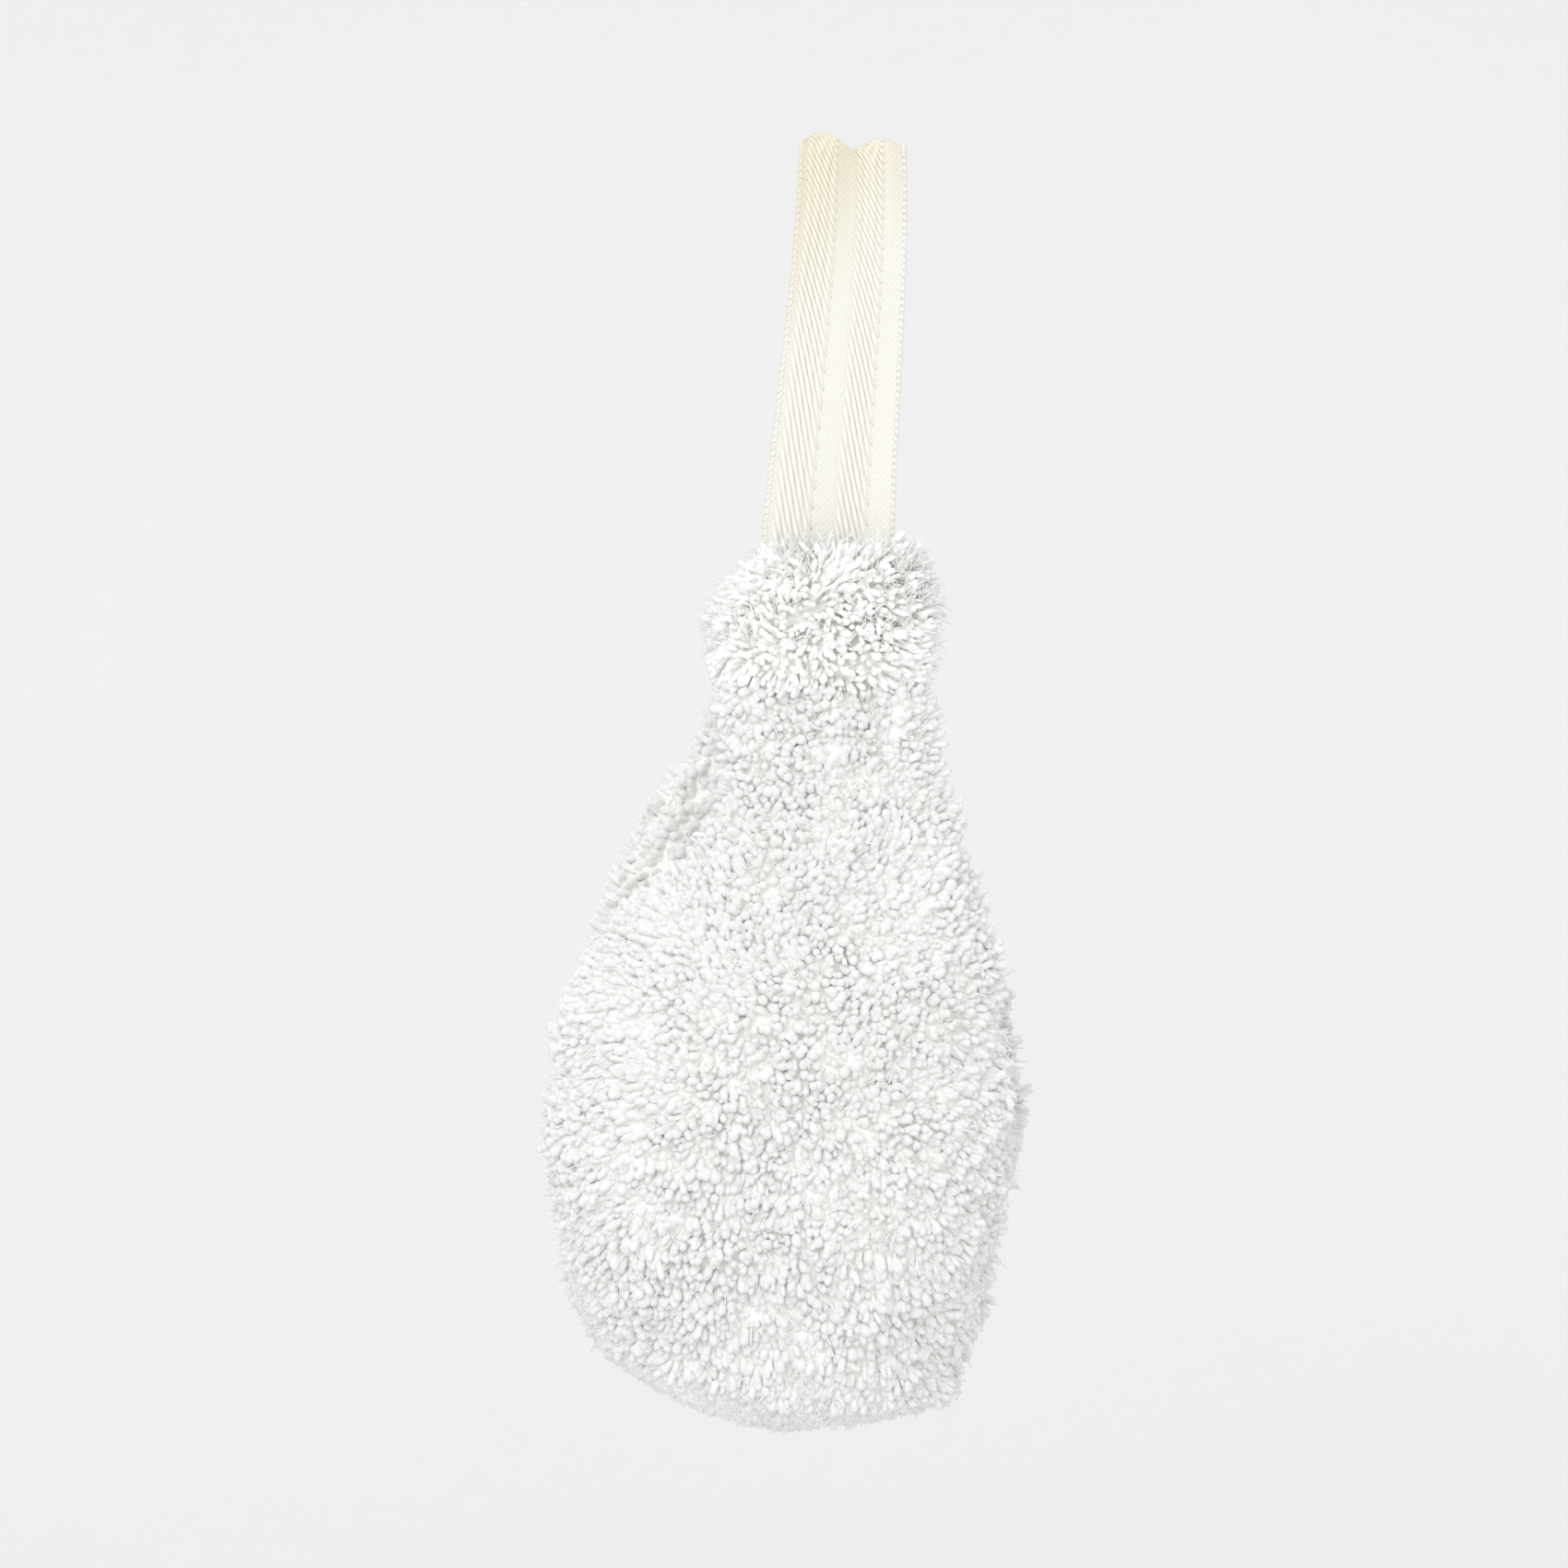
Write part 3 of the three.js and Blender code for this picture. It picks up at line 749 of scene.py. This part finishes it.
def yarns(name, paths, ups, widths, sides, finish):
    """Many yarns in one mesh, all with the same count of steps, each closed by a point at both ends."""
    steps = len(paths[0])
    bm = bmesh.new()
    bmesh.ops.create_uvsphere(bm, u_segments=sides, v_segments=steps + 1, radius=1.0)
    bm.verts.ensure_lookup_table()
    corners = np.array([vert.co[:] for vert in bm.verts])
    faces = [[vert.index for vert in face.verts] for face in bm.faces]
    bm.free()
    latitude = np.arccos(np.clip(-corners[:, 2], -1, 1))
    ring = np.rint(latitude / math.pi * (steps + 1)).astype(int)
    turn = np.rint(np.arctan2(corners[:, 1], corners[:, 0]) / (2 * math.pi) * sides).astype(int) % sides
    blocks = []
    for path, up, width in zip(paths, ups, widths):
        shape = sweep(path, width, sides, up)
        body = shape[np.clip(ring - 1, 0, steps - 1), turn]
        start = path[0] - (path[1] - path[0]) * 0.35
        end = path[-1] + (path[-1] - path[-2]) * 0.35
        body[ring == 0] = start
        body[ring == steps + 1] = end
        blocks.append(body)
    co = np.concatenate(blocks)
    count = len(paths)
    flat = np.concatenate(faces)
    sizes = np.array([len(face) for face in faces])
    mesh = bpy.data.meshes.new(name)
    mesh.vertices.add(len(co))
    mesh.vertices.foreach_set("co", co.astype(np.float32).ravel())
    loops = (flat[None, :] + np.arange(count)[:, None] * len(corners)).ravel()
    mesh.loops.add(len(loops))
    mesh.loops.foreach_set("vertex_index", loops.astype(np.int32))
    mesh.polygons.add(count * len(faces))
    starts = np.r_[0, np.cumsum(np.tile(sizes, count))[:-1]]
    mesh.polygons.foreach_set("loop_start", starts.astype(np.int32))
    mesh.update(calc_edges=True)
    mesh.validate()
    maps = []
    for face in faces:
        around = turn[face] / sides
        pole = (ring[face] == 0) | (ring[face] == steps + 1)
        rim = around[~pole]
        rim = np.where(rim.max() - rim > 0.5, rim + 1, rim)
        around = around.astype(float)
        around[~pole] = rim
        around[pole] = rim.mean()
        maps.append(np.c_[around, ring[face] / (steps + 1)])
    own = np.concatenate(maps)
    twist = mesh.uv_layers.new(name="twist")
    twist.data.foreach_set("uv", np.tile(own, (count, 1)).astype(np.float32).ravel())
    cells = math.ceil(math.sqrt(count))
    cell = np.c_[np.arange(count) % cells, np.arange(count) // cells]
    bake = mesh.uv_layers.new(name="OFBake")
    flat_map = (own[None, :, :] * 0.84 + 0.08 + cell[:, None, :]) / cells
    bake.data.foreach_set("uv", flat_map.astype(np.float32).ravel())
    shade_smooth(mesh)
    return new_piece(name, mesh, finish)


# ------------------------------------------------------------------ the strap


def strap_line(s):
    """Middle of the strap at a share s of its length: near end, up over the crown, down to the far end."""
    run = (COLLAR_TOP + 0.016 - 0.0025) / math.cos(TILT)
    arc = CROWN_MIDDLE * (math.pi - 2 * TILT)
    total = 2 * run + arc
    d = np.asarray(s, float) * total
    turn = np.clip((d - run) / arc, 0, 1) * (math.pi - 2 * TILT) + TILT
    y = -np.cos(turn) * CROWN_MIDDLE
    z = np.sin(turn) * CROWN_MIDDLE - 0.003
    before = np.maximum(run - d, 0)
    after = np.maximum(d - run - arc, 0)
    y = y - before * math.sin(TILT) + after * math.sin(TILT)
    z = z - (before + after) * math.cos(TILT)
    out = np.stack([np.zeros_like(turn), -np.cos(turn), np.sin(turn)], axis=-1)
    return np.stack([np.zeros_like(y), y, z], axis=-1), out, total


def strap_place(s, u, lift):
    """A place on the strap: u across -1..1, lift from its middle outwards. The crown is pinched along its middle."""
    strap = bpy.context.scene.headband_strap
    middle, out, _ = strap_line(s)
    down = -middle[..., 2]
    pinch = 1 - smooth(down, -0.001, 0.062)
    tight = 1 - smooth(down, -0.001, 0.030)
    centre = 0.05
    off = np.abs(u - centre)
    valley = np.exp(-((off / 0.30) ** 2))
    half = strap.width / 2 * (0.768 + 0.182 * np.clip(down / 0.073, 0, 1))
    sink = strap.crease * valley * pinch * (0.45 + 0.55 * tight)
    tip = (0.0009 * smooth(u, 0.1, 0.6) + 0.0012 * smooth(np.abs(u), 0.72, 1.0)) * tight
    wavy = 0.00035 * np.sin(u * 3.0 + down * 55.0) * smooth(down, 0.01, 0.04)
    place = middle + out * (np.asarray(lift) - sink - tip + wavy)[..., None]
    place[..., 0] = place[..., 0] + u * half
    return drape(place)


class HEADBAND_OT_strap(bpy.types.Operator):
    """Weaves the elastic strap: its ground, its raised ribs and its corded edges"""

    bl_idname = "headband.strap"
    bl_label = "Woven elastic strap"

    def execute(self, context):
        strap = context.scene.headband_strap
        length = strap_line(0.5)[2]
        rows, columns = 300, 40
        mesh, u, v, layer, _ = slab("elastic_strap_web", rows, columns)
        set_coordinates(mesh, strap_place(v, u, (layer - 0.5) * strap.thickness))
        uv = mesh.uv_layers.new(name="weave")
        loops = np.empty(len(mesh.loops), np.int32)
        mesh.loops.foreach_get("vertex_index", loops)
        flat = np.c_[u * strap.width / 2, v * length] / MM
        uv.data.foreach_set("uv", flat[loops].astype(np.float32).ravel())
        shade_smooth(mesh)
        web = new_piece("elastic_strap_web", mesh, "web")
        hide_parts("elastic_strap")
        pieces = [web, self.ribs(strap, length), self.edges(strap, length)]
        for piece in pieces:
            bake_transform(piece)
        return {"FINISHED"}

    def ribs(self, strap, length):
        """Ribs that stand in two columns on both faces, steeper where the strap is drawn out near its ends."""
        down = np.linspace(0, length / 2, 400)
        slope = np.tan(np.radians(mix(33.0, 16.0, smooth(down, 0.004, 0.060))))
        reach = np.r_[0, np.cumsum((slope[1:] + slope[:-1]) / 2 * np.diff(down))]
        paths, ups, widths = [], [], []
        steps = 12
        for end in (0, 1):
            for low, high in ((-0.94, -0.30), (0.06, 0.60)):
                column = (high - low) * strap.width / 2
                for face in (1, -1):
                    for k in range(-int(column / strap.rib_pitch) - 1, int(reach[-1] / strap.rib_pitch) + 1):
                        start = k * strap.rib_pitch
                        first, last = max(start, 0.0), min(start + column, reach[-1])
                        if last - first < 1.2 * strap.rib_pitch:
                            continue
                        across = np.linspace(first, last, steps)
                        fallen = np.interp(across, reach, down)
                        u = low + (across - start) / column * (high - low)
                        s = 0.5 - (0.5 - end) * 2 * fallen / length
                        lift = np.full(steps, face * (strap.thickness / 2 + 0.00002))
                        paths.append(strap_place(s, u, lift))
                        ups.append(strap_line(s)[1] * face)
                        swell = np.sqrt(np.sin(np.linspace(0.35, math.pi - 0.35, steps)))
                        lean = np.cos(np.arctan(np.interp(fallen, down, slope)))
                        widths.append(strap.rib_pitch * 0.46 * lean * swell)
        return yarns("elastic_strap_ribs", paths, ups, widths, 5, "yarn")

    def edges(self, strap, length):
        """Short slanting stitches that cord both long edges."""
        paths, ups, widths = [], [], []
        pitch = 0.00135
        steps = 5
        for side in (-1, 1):
            for k in range(int(length / pitch) - 1):
                share = np.linspace(0, 1, steps)
                s = (k + 1.0 + 1.25 * share) * pitch / length
                turn = mix(-1.1, 1.1, share)
                lift = np.sin(turn) * strap.thickness * 0.62
                u = side * (0.985 + 0.030 * np.cos(turn))
                if s[-1] > 1:
                    continue
                paths.append(strap_place(s, u, lift))
                ups.append(np.tile(np.array([side, 0.0, 0.0]), (steps, 1)))
                widths.append(0.00052 * np.sqrt(np.sin(np.linspace(0.4, math.pi - 0.4, steps))))
        return yarns("elastic_strap_edges", paths, ups, widths, 5, "yarn")


# ------------------------------------------------------------------ the plush


SHEETS = {}


def backing(name, full, outwards, node, seed):
    """One knitted panel, without its pile, as a closed and settled cloth."""
    rows, columns = 168, 44
    mesh, u, v, layer, grid = slab(name, rows, columns)
    body = plush_height(full, v, u) - 0.0030
    body = np.maximum(body, 0.0009) + 0.0009
    rise = band_place(v, u, np.full(len(v), 0.001)) - band_place(v, u, np.zeros(len(v)))
    body = body + 0.0016 * smooth(-rise[:, 2], 0.0005, 0.00085) * (1 if outwards else 0)
    offset = half_gap(v) + body * layer + gathers(v, u) * layer
    side = 1.0 if outwards else -1.0
    co = band_place(v, u, side * offset)
    rumple = Swirls(seed, 0.045)(co)[:, 0] * 0.0007 + Swirls(seed + 1, 0.018)(co)[:, 1] * 0.00025
    z = co[:, 2]
    loose = smooth(-z, COLLAR_BOTTOM + 0.004, COLLAR_BOTTOM + 0.03) * layer
    co = band_place(v, u, side * (offset + rumple * loose))
    set_coordinates(mesh, co)
    bm = bmesh.new()
    bm.from_mesh(mesh)
    bmesh.ops.recalc_face_normals(bm, faces=list(bm.faces))
    bm.to_mesh(mesh)
    bm.free()
    shade_smooth(mesh)
    piece = new_piece(name, mesh, "backing")
    pinned = (-co[:, 2] < COLLAR_BOTTOM + 0.004) | (layer < 0.5)
    settle(piece, pinned, 4.0, 0.0022)
    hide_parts(node)
    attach(piece, PLUSH)
    co, normals = coordinates(mesh), normals_of(mesh)
    rows_used = slice(int(0.05 * rows), rows + 1 - int(0.05 * rows))
    order = np.concatenate([grid[0][:, :1], grid[1], grid[0][:, -1:]], axis=1)[rows_used]
    SHEETS[name] = (co[order], normals[order])
    return piece


class HEADBAND_OT_panels(bpy.types.Operator):
    """Cuts the outer panel and the lining and lets them settle"""

    bl_idname = "headband.panels"
    bl_label = "Plush panels"

    def execute(self, context):
        plush = context.scene.headband_plush
        backing("outer_panel_backing", plush.outer_thickness, True, "outer_panel", 11)
        backing("lining_panel_backing", plush.lining_thickness, False, "lining_panel", 21)
        return {"FINISHED"}


def outer_flow(points):
    """How the outer pile has been stroked: out from the belly, down at the brow, outwards at the shoulders."""
    centre = np.array([-0.006, 0.0, -0.160])
    flow = points - centre
    flow[:, 1] = 0.0
    down = -points[:, 2]
    flow /= 0.050
    size = np.linalg.norm(flow, axis=1, keepdims=True)
    flow *= np.minimum(1.0, 1.0 / np.maximum(size, 1e-6))
    upper = 1 - smooth(down, 0.112, 0.150)
    flow[:, 2] = mix(flow[:, 2], 0.15, upper)
    flow[:, 0] = mix(flow[:, 0], points[:, 0] / 0.035, upper)
    return flow


class HEADBAND_OT_pile(bpy.types.Operator):
    """Tufts the outer panel and the lining"""

    bl_idname = "headband.pile"
    bl_label = "Plush pile"

    def execute(self, context):
        plush = context.scene.headband_plush
        lines, normals = SHEETS["outer_panel_backing"]
        points, upright = seed_rows(lines, normals, plush.tuft_spacing, 31)
        pile("outer_pile", points, upright, outer_flow(points), PLUSH, 101)
        rng = np.random.default_rng(33)
        pick = rng.choice(len(points), 7000, replace=False)
        loose = points[pick] + rng.normal(scale=0.0005, size=(7000, 3))
        stray = outer_flow(loose) + rng.normal(scale=0.5, size=(7000, 3))
        pile("outer_fluff", loose, upright[pick], stray, PLUSH, 151, length=1.06, width=0.24, pattern=FIBRE, finish="fuzz_painted_light")
        lines, normals = SHEETS["lining_panel_backing"]
        points, upright = seed_rows(lines, normals, plush.tuft_spacing * 1.25, 32)
        flow = np.tile(np.array([0.0, 0.0, -0.35]), (len(points), 1))
        pile("lining_pile", points, upright, flow, PLUSH, 201, unruly=0.5, length=0.9, width=1.2)
        return {"FINISHED"}


# ------------------------------------------------------------------ the gathered ends


def collar_place(side, turn, angle):
    """Places on one collar's sleeve: turn goes round the neck, angle round the sleeve's own section."""
    height = COLLAR_BOTTOM - COLLAR_TOP
    outward = np.cos(angle)
    deep = 0.5 - 0.5 * np.sin(angle)
    cx, cy = np.cos(turn), np.sin(turn)
    ex = np.sign(cx) * np.abs(cx) ** 0.72
    ey = np.sign(cy) * np.abs(cy) ** 0.72
    folds = 1 + 0.030 * np.cos(9 * turn + 1.1) * (1 - 0.3 * deep) + 0.018 * np.cos(17 * turn + 6 * deep)
    narrow = 1 - 0.30 * (1 - smooth(deep, -0.05, 0.42))
    wall = 0.0026 * np.sign(outward) * np.abs(outward) ** 0.6 - 0.0003 * smooth(deep, 0.7, 1.0)
    x = (0.0160 + wall) * ex * folds * narrow + 0.0028 * (1 - smooth(deep, 0.0, 0.45))
    inside = smooth(-np.sin(turn), -0.2, 0.6)
    y = (mix(0.0062, 0.0082, inside) + wall) * ey * mix(folds, 1.0, inside) * mix(mix(1.0, narrow, 0.6), 1.0, inside)
    depth = 0.0026 + (height - 0.0018) * deep
    down = np.array([0.0, side * math.sin(TILT), -math.cos(TILT)])
    out = np.array([0.0, side * math.cos(TILT), math.sin(TILT)])
    top = np.array([0.0, side * (CROWN_MIDDLE + (COLLAR_TOP - 0.0025) * math.tan(TILT)), -COLLAR_TOP])
    return drape(top + np.stack([x, 0 * x, 0 * x], axis=-1) + y[..., None] * out + depth[..., None] * down)


class HEADBAND_OT_collars(bpy.types.Operator):
    """Wraps the gathered ends and tufts them, with the pile flaring over the strap"""

    bl_idname = "headband.collars"
    bl_label = "Gathered ends"

    def execute(self, context):
        for side, word in ((NEAR, "near"), (FAR, "far")):
            self.one_end(side, word)
        return {"FINISHED"}

    def one_end(self, side, word):
        rounds, sections = 96, 32
        bm = bmesh.new()
        ring = bmesh.ops.create_circle(bm, cap_ends=False, segments=sections, radius=1.0)["verts"]
        bmesh.ops.rotate(bm, verts=ring, cent=(0, 0, 0), matrix=Matrix.Rotation(math.pi / 2, 3, "X"))
        bmesh.ops.translate(bm, verts=ring, vec=(3, 0, 0))
        bmesh.ops.spin(
            bm, geom=ring + list(bm.edges), axis=(0, 0, 1), angle=2 * math.pi, steps=rounds, use_merge=True
        )
        mesh = bpy.data.meshes.new(f"{word}_collar_backing")
        bm.to_mesh(mesh)
        own = coordinates(mesh)
        turn = np.arctan2(own[:, 1], own[:, 0])
        angle = np.arctan2(own[:, 2], np.hypot(own[:, 0], own[:, 1]) - 3)
        set_coordinates(mesh, collar_place(side, turn, angle))
        bm.free()
        bm = bmesh.new()
        bm.from_mesh(mesh)
        bmesh.ops.recalc_face_normals(bm, faces=list(bm.faces))
        bm.to_mesh(mesh)
        bm.free()
        shade_smooth(mesh)
        piece = new_piece(f"{word}_collar_backing", mesh, "backing")
        settle(piece, np.cos(angle) < -0.2, 3.0, 0.0009)
        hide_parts(f"{word}_collar")
        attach(piece, PLUSH)
        grid = np.zeros((rounds, sections), int)
        step = np.rint(np.c_[turn / (2 * math.pi) * rounds, angle / (2 * math.pi) * sections]).astype(int)
        grid[step[:, 0] % rounds, step[:, 1] % sections] = np.arange(len(own))
        around = np.r_[np.arange(rounds), 0]
        section = np.arange(11, -12, -1) % sections
        pick = grid[np.ix_(around, section)]
        sheet, ways = coordinates(mesh)[pick], normals_of(mesh)[pick]
        plush = bpy.context.scene.headband_plush
        points, upright = seed_rows(sheet, ways, plush.tuft_spacing * 0.80, 41 + side)
        out = np.array([0.0, side * math.cos(TILT), math.sin(TILT)])
        inside = smooth(-(upright @ out), 0.2, 0.7)
        keep = (inside < 0.5) | (np.abs(points[:, 0]) > 0.0033)
        points, upright, inside = points[keep], upright[keep], inside[keep]
        depth = (-points[:, 2] - COLLAR_TOP) / (COLLAR_BOTTOM - COLLAR_TOP)
        flow = np.zeros_like(points)
        flow[:, 2] = 0.9 * (1 - smooth(depth, 0.05, 0.35)) - 0.6 * smooth(depth, 0.6, 0.95)
        flow[:, 0] = 0.8 * smooth(np.abs(points[:, 0]), 0.006, 0.020) * np.sign(points[:, 0]) - 0.40
        flow[:, 0] = mix(flow[:, 0], np.sign(points[:, 0]), inside)
        tall = 1.1 * (1 - 0.5 * inside)
        pile(f"{word}_collar_pile", points, upright, flow, PLUSH, 301 + 50 * side, unruly=0.8, length=tall, width=0.72, finish="fuzz_painted_light", sunk=0.0009)
        self.flare(side, word, sheet, ways)

    def flare(self, side, word, sheet, ways):
        """Long thin strands that spray up round the strap at the collar's top."""
        rng = np.random.default_rng(61 + side)
        rim = sheet[:, 1:14].reshape(-1, 3)
        way = ways[:, 1:14].reshape(-1, 3)
        out = np.array([0.0, side * math.cos(TILT), math.sin(TILT)])
        front = np.flatnonzero(way @ out > -0.2)
        pick = rng.choice(front, 2400)
        points = rim[pick] + rng.normal(scale=0.0007, size=(2400, 3))
        upright = way[pick] + np.array([0, 0, 0.9])
        upright /= np.linalg.norm(upright, axis=1, keepdims=True)
        flow = rng.normal(scale=0.6, size=(2400, 3)) + points * np.array([20.0, 0.0, 0.0])
        pile(f"{word}_collar_flare", points, upright, flow, PLUSH, 401 + 50 * side, unruly=0.6, length=1.2, width=0.24, pattern=FIBRE, finish="fuzz_painted_light", sunk=0.0009)


# ------------------------------------------------------------------ the sewing


class HEADBAND_OT_sewing(bpy.types.Operator):
    """Sews the long seams and finishes the stitches of the gathered ends"""

    bl_idname = "headband.sewing"
    bl_label = "Seams and stitches"

    def execute(self, context):
        for side, word in ((-1, "left"), (1, "right")):
            t = np.linspace(0.075, 0.925, 360)
            sway = 0.00015 * np.sin(np.arange(360) * 0.9)
            path = band_place(t, np.full(360, side * 0.8333), sway)
            guide = np.tile(np.array([side * 1.0, 0.0, 0.0]), (360, 1))
            piece = yarns(
                f"{word}_seam_thread_twist", [path], [guide], [np.full(360, 0.00028)], 8, "seam"
            )
            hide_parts(f"{word}_seam_thread")
            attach(piece, PLUSH)
        for node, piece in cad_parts.items():
            if "stitch" in node:
                for slot in piece.material_slots:
                    slot.material = finish_of("thread")
        return {"FINISHED"}


# ------------------------------------------------------------------ the stage


class HEADBAND_OT_stage(bpy.types.Operator):
    """Sets the backdrop, the soft lights and the camera"""

    bl_idname = "headband.stage"
    bl_label = "Stage"

    def execute(self, context):
        scene = context.scene
        scene.view_settings.view_transform = "Standard"
        scene.cycles.diffuse_bounces = 12
        scene.cycles.max_bounces = 16
        bm = bmesh.new()
        bmesh.ops.create_grid(bm, x_segments=1, y_segments=1, size=3.0)
        far_edge = [edge for edge in bm.edges if all(vert.co.y > 2.9 for vert in edge.verts)]
        raised = bmesh.ops.extrude_edge_only(bm, edges=far_edge)
        top = [part for part in raised["geom"] if isinstance(part, bmesh.types.BMVert)]
        bmesh.ops.translate(bm, verts=top, vec=(0, 0, 5.0))
        bmesh.ops.translate(bm, verts=list(bm.verts), vec=(0, -1.2, -0.45))
        fold = [edge for edge in bm.edges if len(edge.link_faces) == 2]
        bmesh.ops.bevel(
            bm, geom=fold, offset=0.8, offset_type="OFFSET", affect="EDGES", segments=16, profile=0.5, material=-1
        )
        mesh = bpy.data.meshes.new("backdrop")
        bm.to_mesh(mesh)
        bm.free()
        shade_smooth(mesh)
        backdrop = bpy.data.objects.new("backdrop", mesh)
        scene.collection.objects.link(backdrop)
        paper = Finish("backdrop_paper", 0.9)
        cloud = paper.noise(paper.node("ShaderNodeTexCoord").outputs["Object"], 3.0)
        tint = paper.blend(cloud, (0.79, 0.79, 0.79, 1), (0.81, 0.81, 0.81, 1))
        paper.join(paper.surface.inputs["Base Color"], tint)
        mesh.materials.append(paper.material)
        world = bpy.data.worlds.new("studio")
        scene.world = world
        world.use_nodes = True
        world.node_tree.nodes["Background"].inputs[0].default_value = (1, 1, 1, 1)
        world.node_tree.nodes["Background"].inputs[1].default_value = 1.0
        self.light("key", (-0.5, -1.8, 0.6), 1.5, 12)
        self.light("wash", (0.0, 0.3, 2.2), 2.2, 5)
        self.camera(scene)
        return {"FINISHED"}

    def light(self, name, place, size, power):
        lamp = bpy.data.lights.new(name, "AREA")
        lamp.shape = "DISK"
        lamp.size = size
        lamp.energy = power
        thing = bpy.data.objects.new(name, lamp)
        thing.location = place
        thing.visible_camera = False
        thing.rotation_euler = (Vector((0, 0, -0.12)) - Vector(place)).to_track_quat("-Z", "Y").to_euler()
        bpy.context.scene.collection.objects.link(thing)

    def camera(self, scene):
        lens = bpy.data.cameras.new("camera")
        lens.sensor_width = 36
        distance = 1.25
        lens.lens = 36 * distance / 0.2935
        lens.clip_start = 0.05
        eye = bpy.data.objects.new("camera", lens)
        azimuth, elevation = math.radians(-1), math.radians(1.0)
        aim = Vector((-0.00735, 0.0, -0.1201))
        back = Vector(
            (math.sin(azimuth) * math.cos(elevation), -math.cos(azimuth) * math.cos(elevation), math.sin(elevation))
        )
        eye.location = aim + back * distance
        eye.rotation_euler = (-back).to_track_quat("-Z", "Y").to_euler()
        scene.collection.objects.link(eye)
        scene.camera = eye


class HEADBAND_PT_panel(bpy.types.Panel):
    """Lists the headband's pieces, sizes and colours"""

    bl_idname = "HEADBAND_PT_panel"
    bl_label = "Spa headband"
    bl_space_type = "VIEW_3D"
    bl_region_type = "UI"
    bl_category = "Headband"

    def draw(self, context):
        layout = self.layout
        for group in (context.scene.headband_strap, context.scene.headband_plush):
            box = layout.box()
            for name in group.bl_rna.properties.keys():
                if name not in ("rna_type", "name"):
                    box.prop(group, name)
        for operator in OPERATORS:
            layout.operator(operator.bl_idname)


OPERATORS = (
    HEADBAND_OT_stage,
    HEADBAND_OT_strap,
    HEADBAND_OT_panels,
    HEADBAND_OT_pile,
    HEADBAND_OT_collars,
    HEADBAND_OT_sewing,
)
CLASSES = (HeadbandStrap, HeadbandPlush, *OPERATORS, HEADBAND_PT_panel)


def register():
    for one in CLASSES:
        bpy.utils.register_class(one)
    bpy.types.Scene.headband_strap = bpy.props.PointerProperty(type=HeadbandStrap)
    bpy.types.Scene.headband_plush = bpy.props.PointerProperty(type=HeadbandPlush)


def unregister():
    del bpy.types.Scene.headband_plush
    del bpy.types.Scene.headband_strap
    for one in reversed(CLASSES):
        bpy.utils.unregister_class(one)


def main():
    register()
    bpy.ops.headband.stage()
    bpy.ops.headband.strap()
    bpy.ops.headband.panels()
    bpy.ops.headband.pile()
    bpy.ops.headband.collars()
    bpy.ops.headband.sewing()


if __name__ == "__main__":
    main()
